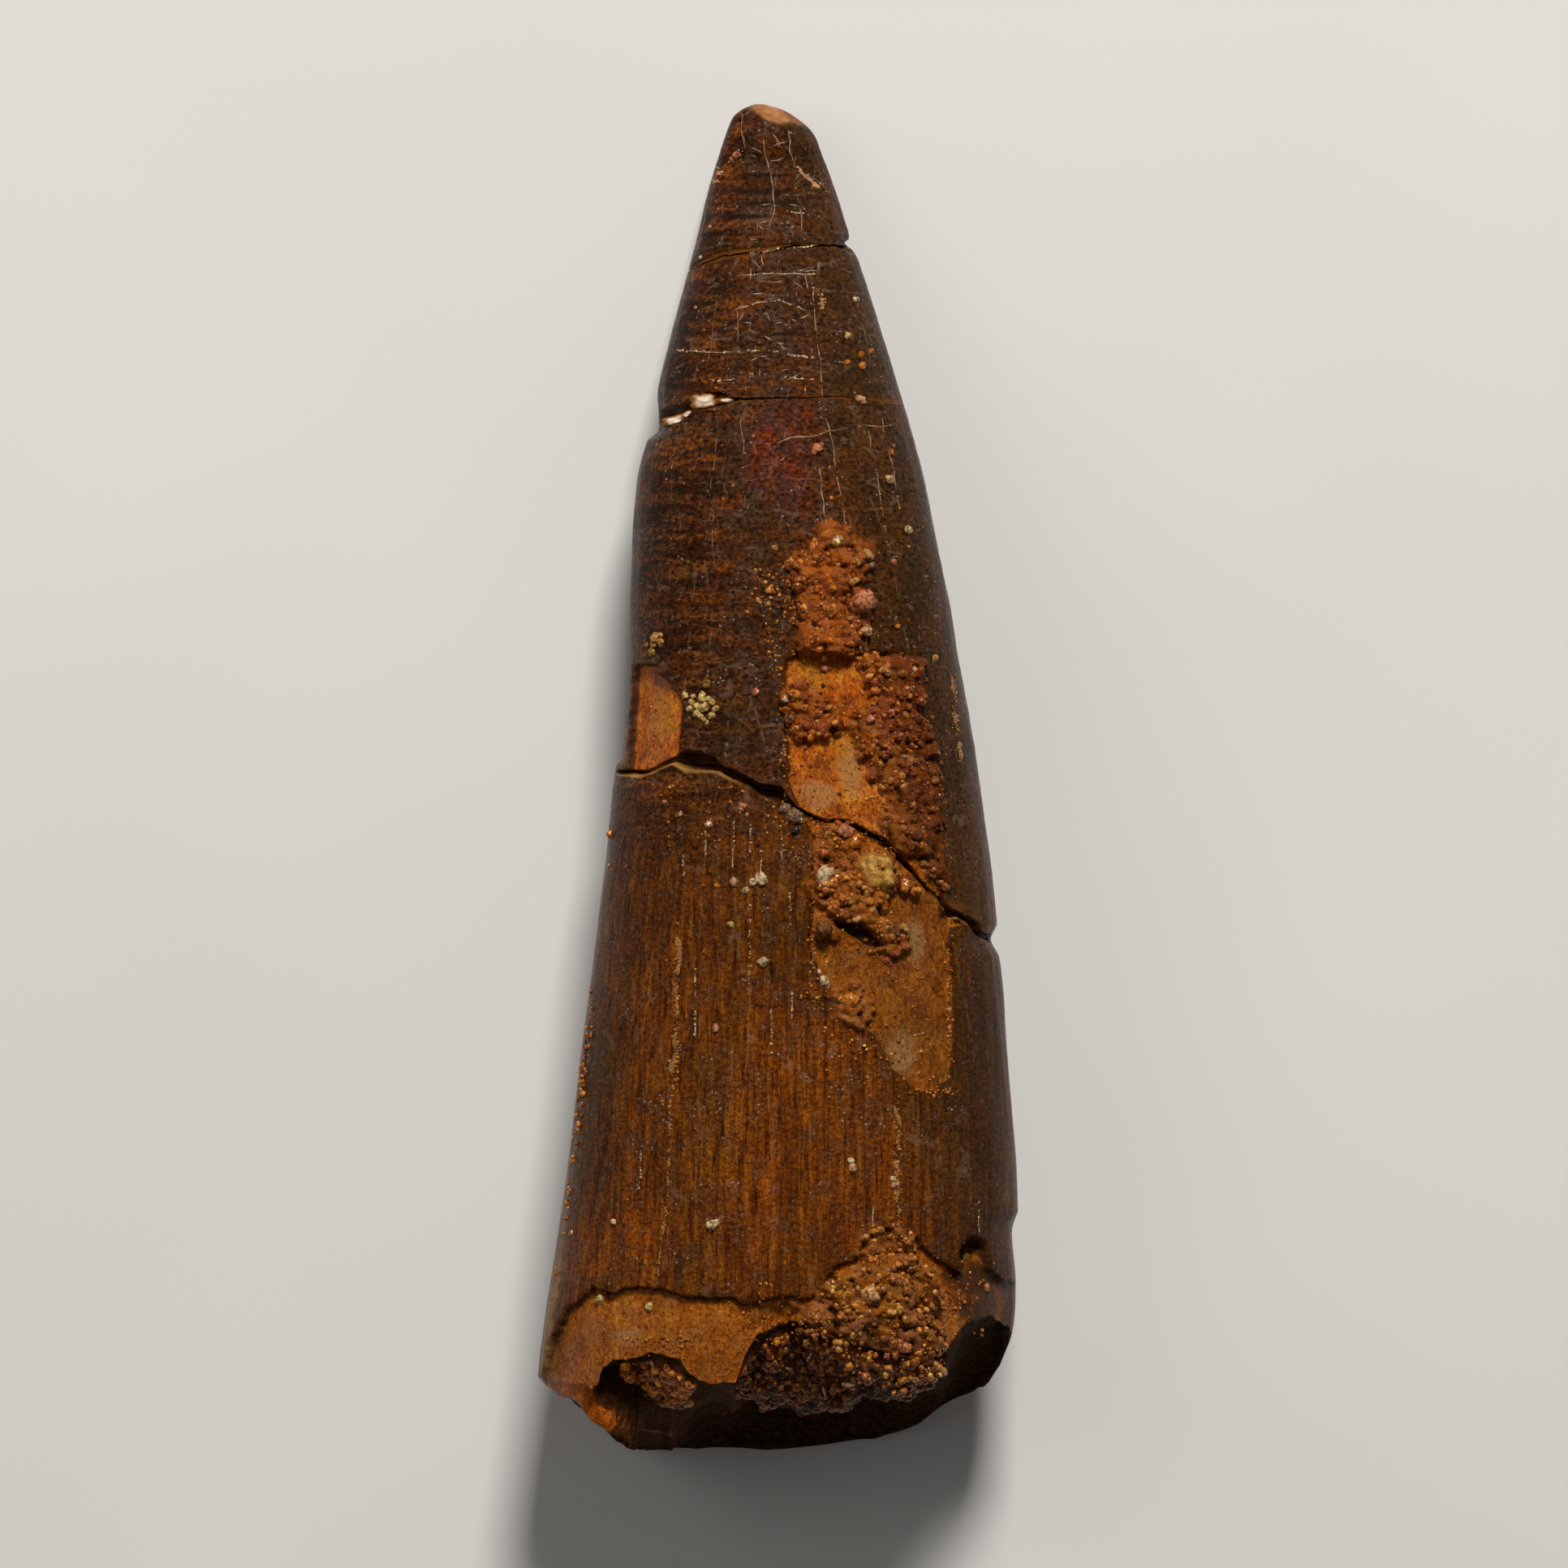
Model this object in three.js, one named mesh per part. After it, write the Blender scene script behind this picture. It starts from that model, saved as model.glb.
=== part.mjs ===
// A fossil tooth crown, 80 mm long, lying on its back with its broad face up.
// It is four fragments fitted together along three old breaks. Sand fills its pulp cavity,
// and a little white filler shows in the left end of the second break.
// Units are millimetres. +Y points to the tip, +X to the right of the face, and +Z up, away
// from the table. The origin is under the middle of the tooth, on the table.

import * as THREE from 'three';

// Driving dimensions
const BASE_Y = -40;
const TIP_Y = 39.95;
const THICKNESS_AT_BASE = 0.75; // thickness over width
const THICKNESS_AT_TIP = 0.84;
const FACE_SQUARENESS = 2.15; // superellipse exponent of the section, above and below its middle
const BACK_SQUARENESS = 2.35;
const WAVE = 0.05; // height of the long shallow waves of the surface

const ENAMEL = 0.45; // depth of the places where the enamel is lost
const ENAMEL_LEDGE = 0.6; // width of the step down from the enamel

const BREAK_GAP = 0.3; // between two fragments, along Y
const BREAK_LEAN = 0.14; // how far a break climbs to the tip for each mm below the middle height
const BREAK_WAVE = 0.12;
const CHIP_DEPTH = 0.2; // how far the edge along a break is worn down
const CHIP_WIDTH = 0.03; // and worn back
const OPEN_CHIP_WIDTH = 0.12; // the same along the open third break
const CHIP_INSET = 0.8; // distance from the edge to the unworn broken face

const CAVITY_SHARE = 0.68; // width of the pulp cavity over the width of the broken end
const CAVITY_TAPER = 0.5; // the same at the cavity's floor
const CAVITY_DEPTH = 8;
const CAVITY_CLEARANCE = 0.35; // between the cavity's wall and the sand in it
const SAND_RECESS = 0.8; // of the sand behind the broken end, where it doesn't bulge
const SAND_BULGE = { at: [3, 16], reach: 5.5, height: 3.2 };
const SAND_LUMP = 0.9;

const FILLER = { from: -6.5, to: -3, steps: 9, halfWidth: 0.22, halfHeight: 0.3, depth: 0.3 };
const FILLER_GROOVE = { from: -7.6, to: -2.6, width: 0.36 };

// Mesh fineness
const RIGHT_FACE_COLUMNS = 21;
const LEFT_FACE_COLUMNS = 15;
const BACK_COLUMNS = 12;
const ROW_STEP = { tip: 1.5, upper: 1.6, middle: 1.05, base: 1.3 };
const EDGE_ROW = 0.45; // first row in from an edge

// Outline of the face: distance along the tooth, then the edge's place across it
const LEFT_EDGE = [
  [BASE_Y, -14.2], [-35, -14.15], [-28, -13.2], [-22.2, -12.35], [-16.4, -11.65], [-10.7, -10.9],
  [-4.9, -10.2], [0.6, -9.6], [1.2, -9.25], [6.6, -8.8], [12.4, -8.7], [17.2, -8.4], [19.9, -7.75],
  [20.5, -7.1], [22.9, -7.1], [25.3, -6.6], [31.6, -4.95], [36.4, -3.75], [38.3, -3.15], [TIP_Y, -2.7],
];
const RIGHT_EDGE = [
  [BASE_Y, 12.6], [-35.2, 13.1], [-32.8, 13.9], [-29.9, 14.1], [-26.6, 13.85], [-25.6, 14.2],
  [-16.4, 13.6], [-10.7, 13.1], [-9.6, 12.6], [-8.6, 12.95], [0.8, 11.7], [6.6, 10.7], [11.4, 9.9],
  [17.2, 8.75], [20.5, 7.9], [24.8, 6.6], [30.6, 4.8], [31.4, 4], [32.2, 4.15], [36.4, 2.75],
  [38.3, 1.95], [TIP_Y, 1.1],
];
// Lowest line of the back. Where it is below zero the back is worn flat and rests on the table:
// on the heel and just behind the tip, because the crown is a little recurved.
const BACK_LINE = [
  [BASE_Y, 0.1], [-35, -0.32], [-24, -0.3], [-12, 0.35], [2, 0.75], [18, 0.5], [28, -0.05],
  [32, -0.2], [35.5, -0.15], [37.5, 0.3], [TIP_Y, 1],
];

// Breaks on the face, from left to right: place across the tooth, then along it
const FIRST_BREAK = [[-6, 30], [-4, 30.8], [-1.9, 31.2], [0.8, 31.6], [3.6, 31.6], [6, 31.3]];
const SECOND_BREAK = [
  [-9, 20.1], [-7.2, 20.4], [-5.5, 21.7], [-4.3, 22.2], [1.2, 22.4], [3.9, 22.5], [7.5, 21.9], [10, 21.8],
];
const THIRD_BREAK = [
  [-12, 0.2], [-7.6, 0.45], [-5.7, 1], [-3.8, 0.5], [-0.7, -0.6], [1.4, -2.2], [4.8, -3.1],
  [7.2, -4.6], [9.6, -7.2], [11.1, -8.3], [14, -9.9],
];
// Broken end of the base: its rim on the face and its rim on the back
const FACE_RIM = [
  [-14.3, -35.2], [-12.4, -35.7], [-10.4, -33.9], [-8, -33.8], [-6, -34.9], [-3.3, -35.2],
  [-1.4, -32.6], [0.4, -31.9], [3, -33], [8, -34.2], [10, -34.4], [10.7, -32.4], [14.3, -32.8],
];
const BACK_RIM = [
  [-14.3, -35.2], [-12.4, -36.8], [-10.7, -38.2], [-8.4, -39.8], [-0.9, -39.9], [5, -39],
  [8.2, -38.5], [11.6, -36.1], [14.3, -32.8],
];
// The worn tip: its rim on the face and its rim on the back
const TIP_FACE_RIM = [[-3.4, 38], [-2.8, 38.8], [-1, 39.1], [0.4, 38.9], [1.3, 38.6], [2.2, 38]];
const TIP_BACK_RIM = [
  [-3.4, 38], [-2.8, 39.1], [-2.2, 39.6], [-1.4, TIP_Y], [-0.7, TIP_Y], [0.3, 39.5], [1.2, 39], [2.2, 38],
];
const TIP_HEIGHTS = [1, 5.8]; // of the back rim and of the face rim

// Places where the enamel is lost and the dentine shows
const LONG_PATCH = [
  [1.3, 7.4], [0.35, 6.4], [0.4, 2], [0.6, -0.2], [2.05, -3.4], [1.9, -8.2], [2, -10.8], [3.8, -13.1],
  [5.9, -14.9], [6.7, -17.2], [8.6, -18.7], [10.35, -17.8], [10.6, -14], [10.3, -10], [9.7, -8],
  [9.7, -3.6], [9.1, 1.1], [8.1, 3.2], [8.2, 5.9], [7.4, 7.4],
];
const LEFT_WINDOW = [[-10, 6.6], [-8.3, 6.6], [-7.2, 6], [-5.85, 5.4], [-5.9, 1], [-8, 0.2], [-10, 0]];
const BASE_BAND = [
  [-12.4, -31], [-11.3, -30], [-8.1, -29.9], [-5.9, -30.3], [-2.1, -30.9], [1.9, -30.6], [3.6, -28.8],
  [5.2, -27.5], [6.6, -26.7], [8.4, -27.3], [9, -28], [10.4, -29.2], [11.5, -27.6], [12.6, -28.8],
  [15, -30], [15, -41], [-15, -41], [-14, -36], [-12.9, -34.4],
];

// Crusts of sand grains: centre, half-size across and along, height, number of lumps
const CRUSTS = [
  { at: [3.2, 13.9], half: [0.5, 0.4], height: 0.7, lumps: 2 },
  { at: [2.5, 12], half: [1.2, 1.1], height: 0.9, lumps: 6 },
  { at: [4.9, 12.8], half: [0.3, 0.6], height: 0.5, lumps: 2 },
  { at: [4.6, 10.3], half: [0.1, 0.1], height: 1.1, lumps: 1 },
  { at: [3.2, 8.7], half: [1.7, 1.1], height: 1.1, lumps: 9 },
  { at: [6.8, 5.6], half: [1.4, 1.7], height: 1.2, lumps: 8 },
  { at: [6.7, 2.4], half: [1.5, 1.8], height: 1.2, lumps: 7 },
  { at: [8, -2.1], half: [1.1, 3.3], height: 1.1, lumps: 10 },
  { at: [1.3, 4.6], half: [0.3, 0.6], height: 0.7, lumps: 2 },
  { at: [1.9, 3.1], half: [1.2, 0.7], height: 1, lumps: 5 },
  { at: [3.9, -3.9], half: [0.8, 0.5], height: 1, lumps: 3 },
  { at: [5.7, -5.7], half: [0.8, 0.8], height: 1.1, lumps: 3 },
  { at: [2.7, -6], half: [0.3, 0.5], height: 0.9, lumps: 2 },
  { at: [5, -7.4], half: [1.3, 0.6], height: 0.9, lumps: 4 },
  { at: [2.8, -8.9], half: [0.1, 0.1], height: 0.9, lumps: 1 },
  { at: [6.4, -9.4], half: [0.8, 0.6], height: 0.8, lumps: 3 },
  { at: [4.3, -13.4], half: [0.8, 1.1], height: 0.6, lumps: 4 },
  { at: [5.4, -30.9], half: [3, 1.6], height: 1.4, lumps: 11 },
  { at: [7.4, -33.6], half: [2, 1.2], height: 1.3, lumps: 7 },
  { at: [-7.3, 8.2], half: [0.1, 0.1], height: 0.7, lumps: 1 },
  { at: [-4.8, 4.3], half: [0.5, 0.6], height: 0.6, lumps: 3 },
];
const LUMP_RADIUS = [0.8, 1.4];

// Hollows in the face: centre, radius, depth
const PITS = [
  { at: [4.7, -9.2], radius: 1, depth: 0.6 },
  { at: [11.6, -28], radius: 0.7, depth: 0.8 },
  { at: [-8.3, -34.8], radius: 1.9, depth: 1.4 },
  { at: [0.2, -32.4], radius: 1.3, depth: 0.8 },
];

const ENAMEL_COLOUR = 0x4a2a14;
const SAND_COLOUR = 0x9a6224;
const FILLER_COLOUR = 0xe9dfc8;

// A repeatable random number generator
function randomFrom(seed) {
  let state = seed;
  return () => {
    state = (state * 1664525 + 1013904223) % 4294967296;
    return state / 4294967296;
  };
}

function mix(a, b, share) {
  return a + (b - a) * share;
}

function clamp(value) {
  return Math.min(1, Math.max(0, value));
}

function smoothStep(value) {
  const t = clamp(value);
  return t * t * (3 - 2 * t);
}

// The stretch of a line that holds a place: its end points and the share of the way between them
function stretchAt(points, place) {
  const last = points.length - 1;
  const i = points.findIndex((p) => p[0] >= place);
  const end = i === -1 ? last : Math.max(1, i);
  const share = (place - points[end - 1][0]) / (points[end][0] - points[end - 1][0]);
  return { end, share: clamp(share) };
}

// Straight lines between points of rising first coordinate
function lineAt(points, place) {
  const { end, share } = stretchAt(points, place);
  return mix(points[end - 1][1], points[end][1], share);
}

// A smooth curve through points of rising first coordinate
function curveAt(points, place) {
  const { end, share } = stretchAt(points, place);
  const slopeAt = (k) => {
    const before = points[Math.max(0, k - 1)];
    const after = points[Math.min(points.length - 1, k + 1)];
    return (after[1] - before[1]) / (after[0] - before[0]);
  };
  const width = points[end][0] - points[end - 1][0];
  const rise = share * (1 - share) * (1 - share) * slopeAt(end - 1);
  const fall = share * share * (1 - share) * slopeAt(end);
  return mix(points[end - 1][1], points[end][1], smoothStep(share)) + (rise - fall) * width;
}

// Distance from a point to a closed outline, positive inside it
function depthInside(outline, x, y) {
  let nearest = Infinity;
  let inside = false;
  outline.forEach(([x0, y0], i) => {
    const [x1, y1] = outline[(i + 1) % outline.length];
    const along = (x - x0) * (x1 - x0) + (y - y0) * (y1 - y0);
    const share = clamp(along / ((x1 - x0) ** 2 + (y1 - y0) ** 2));
    nearest = Math.min(nearest, Math.hypot(x - mix(x0, x1, share), y - mix(y0, y1, share)));
    if (y0 > y !== y1 > y && x < x0 + ((y - y0) / (y1 - y0)) * (x1 - x0)) inside = !inside;
  });
  return inside ? nearest : -nearest;
}

// The lumps of every crust, each a round-topped mound
function makeLumps() {
  const random = randomFrom(7);
  return CRUSTS.flatMap(({ at, half, height, lumps }) =>
    Array.from({ length: lumps }, () => {
      const angle = random() * 2 * Math.PI;
      const reach = Math.sqrt(random());
      return {
        x: at[0] + half[0] * reach * Math.cos(angle),
        y: at[1] + half[1] * reach * Math.sin(angle),
        radius: mix(...LUMP_RADIUS, random()),
        height: height * mix(0.6, 1, random()),
      };
    }),
  );
}
const LUMPS = makeLumps();

function lumpHeight(lump, x, y) {
  const reach = Math.hypot(x - lump.x, y - lump.y) / lump.radius;
  return lump.height * Math.max(0, 1 - reach * reach);
}

function pitDepth(pit, x, y) {
  return pit.depth * smoothStep(1.5 - Math.hypot(x - pit.at[0], y - pit.at[1]) / pit.radius);
}

// Height of the face's relief above whole enamel
function faceRelief(x, y) {
  const lost = Math.max(...[LONG_PATCH, LEFT_WINDOW, BASE_BAND].map((outline) => depthInside(outline, x, y)));
  const dentine = -ENAMEL * smoothStep(0.5 + lost / ENAMEL_LEDGE);
  const pits = PITS.reduce((sum, pit) => sum + pitDepth(pit, x, y), 0);
  const crust = Math.max(...LUMPS.map((lump) => lumpHeight(lump, x, y)));
  return dentine - pits + crust;
}

// The crown's section at a place along it: its middle, half-width and half-thickness
function sectionAt(y) {
  const left = curveAt(LEFT_EDGE, y);
  const right = curveAt(RIGHT_EDGE, y);
  const halfWidth = (right - left) / 2;
  const share = (y - BASE_Y) / (TIP_Y - BASE_Y);
  const halfThickness = halfWidth * mix(THICKNESS_AT_BASE, THICKNESS_AT_TIP, share);
  const z = curveAt(BACK_LINE, y) + halfThickness;
  return { x: (left + right) / 2, z, halfWidth, halfThickness };
}

function raised(value, power) {
  return Math.sign(value) * Math.abs(value) ** power;
}

// A point on the outside of the crown. The angle runs from the right edge over the face.
function outsideAt(angle, y, chip = 0) {
  const section = sectionAt(y);
  const cos = Math.cos(angle);
  const sin = Math.sin(angle);
  const power = 2 / (sin >= 0 ? FACE_SQUARENESS : BACK_SQUARENESS);
  const x = section.x + section.halfWidth * raised(cos, power);
  const z = section.z + section.halfThickness * raised(sin, power);
  const wave = WAVE * (Math.sin(7 * angle + 0.05 * y) + Math.sin(0.7 * y + 3 * angle));
  const push = wave + smoothStep(sin * 3) * faceRelief(x, y) - chip;
  const outward = new THREE.Vector2(cos / section.halfWidth, sin / section.halfThickness).setLength(push);
  return new THREE.Vector3(x + outward.x, y, Math.max(0, z + outward.y));
}

// Height of the face above the table
function faceHeight(x, y) {
  const section = sectionAt(y);
  const across = Math.abs((x - section.x) / section.halfWidth);
  return section.z + section.halfThickness * (1 - across ** FACE_SQUARENESS) ** (1 / FACE_SQUARENESS);
}

const ANGLES = [
  ...Array.from({ length: RIGHT_FACE_COLUMNS }, (_, i) => (Math.PI / 2) * (i / RIGHT_FACE_COLUMNS)),
  ...Array.from({ length: LEFT_FACE_COLUMNS }, (_, i) => (Math.PI / 2) * (1 + i / LEFT_FACE_COLUMNS)),
  ...Array.from({ length: BACK_COLUMNS }, (_, i) => Math.PI * (1 + i / BACK_COLUMNS)),
];

// Where the outside meets an end surface, all the way round
function edgeAlong(surface, start, chip) {
  return ANGLES.map((angle) => {
    let y = start;
    for (let step = 0; step < 10; step += 1) {
      const point = outsideAt(angle, y);
      y = mix(y, surface(point.x, point.z), 0.8);
    }
    return outsideAt(angle, y, chip);
  });
}

// A break is seen as a line on the face, and leans towards the tip below the middle height
function breakAlong(line, start, chipWidth) {
  const middleHeight = sectionAt(start).z;
  const surface = (x, z) => {
    const lean = BREAK_LEAN * Math.max(0, middleHeight - z);
    return lineAt(line, x) + lean + BREAK_WAVE * Math.sin(1.7 * x) * Math.cos(0.6 * z);
  };
  return { surface, chipWidth, edge: edgeAlong(surface, start, CHIP_DEPTH) };
}

function brokenEnd() {
  const top = faceHeight(0, -34);
  const surface = (x, z) => mix(lineAt(BACK_RIM, x), lineAt(FACE_RIM, x), clamp(z / top));
  return { surface, edge: edgeAlong(surface, -36, 0.15) };
}

function wornTip() {
  const [low, high] = TIP_HEIGHTS;
  const surface = (x, z) =>
    mix(lineAt(TIP_BACK_RIM, x), lineAt(TIP_FACE_RIM, x), clamp((z - low) / (high - low)));
  return { surface, edge: edgeAlong(surface, 39, 0.1) };
}

function middleOf(ring) {
  return ring.reduce((sum, p) => sum.add(p), new THREE.Vector3()).divideScalar(ring.length);
}

// A ring of points on an end surface, inside its edge. reachOf says how far from the middle
// each point lies, from how far out the edge is there.
function ringInside(edge, surface, reachOf) {
  const middle = middleOf(edge);
  return edge.map((p) => {
    const out = new THREE.Vector2(p.x - middle.x, p.z - middle.z);
    out.setLength(reachOf(out.length()));
    const x = middle.x + out.x;
    const z = middle.z + out.y;
    return new THREE.Vector3(x, surface(x, z), z);
  });
}

function shifted(ring, distanceAt) {
  return ring.map((p) => new THREE.Vector3(p.x, p.y + distanceAt(p), p.z));
}

// The edge along a break is worn back, most where the filler sits
function wearAt(end, p) {
  const inGroove = end.groove && p.z > sectionAt(p.y).z && p.x > end.groove.from && p.x < end.groove.to;
  return inGroove ? end.groove.width : end.chipWidth;
}

// The broken face of a fragment, from its middle to its edge. The side is 1 above the break.
function brokenFace(end, side) {
  const half = (side * BREAK_GAP) / 2;
  return [
    shifted(ringInside(end.edge, end.surface, (r) => r * 0.5), () => half),
    shifted(ringInside(end.edge, end.surface, (r) => r - CHIP_INSET), () => half),
    shifted(end.edge, (p) => half + side * wearAt(end, p)),
  ];
}

// Rows of the outside between two edges, both left out
function outsideRows(low, high, rowStep) {
  const longest = Math.max(...high.map((p, i) => p.y - low[i].y));
  const steps = Math.max(2, Math.round((longest - 2 * EDGE_ROW) / rowStep));
  return Array.from({ length: steps + 1 }, (_, k) =>
    ANGLES.map((angle, i) => outsideAt(angle, mix(low[i].y + EDGE_ROW, high[i].y - EDGE_ROW, k / steps))),
  );
}

// A closed skin over rings of points that run towards +Y
function skinOver(rings) {
  const columns = rings[0].length;
  const points = [...rings.flat(), middleOf(rings[0]), middleOf(rings[rings.length - 1])];
  const [first, last] = [points.length - 2, points.length - 1];
  const at = (row, column) => row * columns + (column % columns);
  const faces = [];
  for (let i = 0; i < columns; i += 1) {
    faces.push(first, at(0, i), at(0, i + 1));
    for (let row = 0; row + 1 < rings.length; row += 1) {
      faces.push(at(row, i), at(row + 1, i), at(row + 1, i + 1));
      faces.push(at(row, i), at(row + 1, i + 1), at(row, i + 1));
    }
    faces.push(at(rings.length - 1, i), last, at(rings.length - 1, i + 1));
  }
  const geometry = new THREE.BufferGeometry().setFromPoints(points);
  geometry.setIndex(faces);
  geometry.computeVertexNormals();
  return geometry;
}

// A fragment from the rings of its lower end to those of its upper end
function fragment(lowRings, highRings, rowStep) {
  const rows = outsideRows(lowRings[lowRings.length - 1], highRings[0], rowStep);
  return skinOver([...lowRings, ...rows, ...highRings]);
}

function above(end) {
  return brokenFace(end, 1);
}

function below(end) {
  return brokenFace(end, -1).reverse();
}

// The wall of the pulp cavity, from its mouth to its floor
function cavityRings(end, clearance) {
  return [0, 0.5, 1].map((share) => {
    const width = mix(CAVITY_SHARE, CAVITY_TAPER, share);
    return shifted(ringInside(end.edge, end.surface, (r) => r * width - clearance), () => share * CAVITY_DEPTH);
  });
}

function hollowEnd(end) {
  const lip = ringInside(end.edge, end.surface, (r) => r * mix(CAVITY_SHARE, 1, 0.5));
  return [...cavityRings(end, 0).reverse(), lip, end.edge];
}

// How far the sand's outer face stands out of the broken end
function sandBulge(x, z) {
  const { at, reach, height } = SAND_BULGE;
  const distance = Math.hypot(x - at[0], z - at[1]) / reach;
  return height * Math.exp(-distance * distance) - SAND_RECESS;
}

function cavitySand(end) {
  const random = randomFrom(11);
  const [mouth, middle, floor] = cavityRings(end, CAVITY_CLEARANCE);
  const face = [0.3, 0.6, 0.85].map((share) =>
    shifted(ringInside(mouth, end.surface, (r) => r * share), (p) => -sandBulge(p.x, p.z) - SAND_LUMP * random()),
  );
  return skinOver([
    ...face,
    shifted(mouth, () => SAND_RECESS),
    middle,
    shifted(floor, () => -CAVITY_CLEARANCE),
  ]);
}

// A lumpy strip of filler along the groove of a break
function fillerIn(end) {
  const corners = Array.from({ length: 8 }, (_, i) => (Math.PI / 4) * i);
  const rings = Array.from({ length: FILLER.steps + 1 }, (_, k) => {
    const x = mix(FILLER.from, FILLER.to, k / FILLER.steps);
    const y = lineAt(SECOND_BREAK, x);
    const z = faceHeight(x, y) - FILLER.depth;
    const taper = Math.sqrt(Math.sin(Math.PI * mix(0.06, 0.94, k / FILLER.steps)));
    const size = taper * (1 + 0.2 * Math.sin(2.6 * k));
    return corners.map((angle) => {
      const across = FILLER.halfWidth * size * Math.sin(angle);
      const up = FILLER.halfHeight * size * Math.cos(angle);
      return new THREE.Vector3(x, end.surface(x, z) + across, z + up);
    });
  });
  return skinOver(rings);
}

function namedMesh(name, geometry, color, roughness) {
  const mesh = new THREE.Mesh(geometry, new THREE.MeshStandardMaterial({ color, roughness, metalness: 0 }));
  mesh.name = name;
  return mesh;
}

const tip = wornTip();
const firstBreak = breakAlong(FIRST_BREAK, 31, CHIP_WIDTH);
const secondBreak = { ...breakAlong(SECOND_BREAK, 22, CHIP_WIDTH), groove: FILLER_GROOVE };
const thirdBreak = breakAlong(THIRD_BREAK, -2, OPEN_CHIP_WIDTH);
const base = brokenEnd();

const tipRings = [tip.edge, ringInside(tip.edge, tip.surface, (r) => r * 0.5)];
const tipFragment = fragment(above(firstBreak), tipRings, ROW_STEP.tip);
const upperFragment = fragment(above(secondBreak), below(firstBreak), ROW_STEP.upper);
const middleFragment = fragment(above(thirdBreak), below(secondBreak), ROW_STEP.middle);
const baseFragment = fragment(hollowEnd(base), below(thirdBreak), ROW_STEP.base);

const tooth = new THREE.Group();
tooth.add(
  namedMesh('tip_fragment', tipFragment, ENAMEL_COLOUR, 0.4),
  namedMesh('upper_fragment', upperFragment, ENAMEL_COLOUR, 0.4),
  namedMesh('middle_fragment', middleFragment, ENAMEL_COLOUR, 0.4),
  namedMesh('base_fragment', baseFragment, ENAMEL_COLOUR, 0.45),
  namedMesh('cavity_sand', cavitySand(base), SAND_COLOUR, 0.7),
  namedMesh('break_filler', fillerIn(secondBreak), FILLER_COLOUR, 0.6),
);

export default tooth;
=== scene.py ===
"""The looks of a fossil tooth that lies on its back: enamel, bare dentine, crusts of sand and breaks.

Shapes are worked out in millimetres, as points of the crown's skin, and become meshes in metres.
+Y points to the tip, +X to the right of the face, and +Z up.
"""

import math

import bmesh
import bpy
import numpy as np
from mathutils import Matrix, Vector


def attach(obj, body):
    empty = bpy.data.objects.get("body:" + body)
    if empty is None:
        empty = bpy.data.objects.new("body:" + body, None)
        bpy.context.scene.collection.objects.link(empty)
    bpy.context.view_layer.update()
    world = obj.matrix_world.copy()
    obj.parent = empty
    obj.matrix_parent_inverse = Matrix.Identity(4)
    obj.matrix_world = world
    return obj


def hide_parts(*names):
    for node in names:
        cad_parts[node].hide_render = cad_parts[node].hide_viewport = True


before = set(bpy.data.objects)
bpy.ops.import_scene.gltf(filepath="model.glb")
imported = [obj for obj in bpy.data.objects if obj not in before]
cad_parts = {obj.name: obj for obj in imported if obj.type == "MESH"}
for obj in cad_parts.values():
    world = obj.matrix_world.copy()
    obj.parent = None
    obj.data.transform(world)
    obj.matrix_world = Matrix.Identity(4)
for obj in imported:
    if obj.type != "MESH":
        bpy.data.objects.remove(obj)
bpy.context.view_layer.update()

MM = 0.001

# Driving sizes of the crown
BASE_Y = -40
TIP_Y = 39.95
THICKNESS_AT_BASE = 0.75  # thickness over width
THICKNESS_AT_TIP = 0.84
FACE_SQUARENESS = 2.15  # superellipse exponent of the section, above and below its middle
BACK_SQUARENESS = 2.35
ENAMEL = 0.45  # thickness of the enamel
ENAMEL_LEDGE = 0.28  # width of the step down where it is lost
EVENING = 6  # reach over which the steps of the outline are smoothed out of the sections
BREAK_LEAN = 0.14  # how far a break climbs to the tip for each mm below the middle height
CAVITY_SHARE = 0.68  # width of the pulp cavity's mouth over the width of the broken end
CAVITY_TAPER = 0.5  # the same at its floor
CAVITY_DEPTH = 8
CAVITY_CLEARANCE = 0.1  # between the cavity's wall and the sand
SAND_SLOPE = 4.2  # depth below the face over which the sand of the broken end slopes out
SAND_FLOOR = 3  # height below which no sand stands out of it
SHELF_END = -3.5  # place across at which the step under its rim ends
CHIP_REACH = 6  # depth below the face to which bare dentine shows lit on it; below that it is painted dark as shade
END_Y = -35.0  # where the section is taken for the heights of the broken end
BACK_RIM_HEIGHT = 0.7  # thickness of the back's broken rim
TIP_ROUND = 35.5  # where the tip starts to round off
LOW_START = 6  # where the enamel starts to look like that of the base
LOW_SPAN = 22  # length over which it does so
SHADE_START = -31.5  # where the crusts start to darken towards the broken end, as painted shade

# Rows and rings of the meshes
NEAR_ROWS = (0, 0.05, 0.1, 0.15, 0.2, 0.26, 0.33, 0.42, 0.52, 0.64, 0.78)  # distances from a fragment's edge
EVEN_ROWS = 0.9  # distance from it at which the evenly spaced rows start
EDGE_ROUNDS = 30  # of the search for a fragment's edge
WALL_RINGS = 8  # on the cavity's wall
MOUTH_RINGS = 24  # on the broken dentine round its mouth
SAND_RINGS = 44  # on the face of its sand

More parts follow.
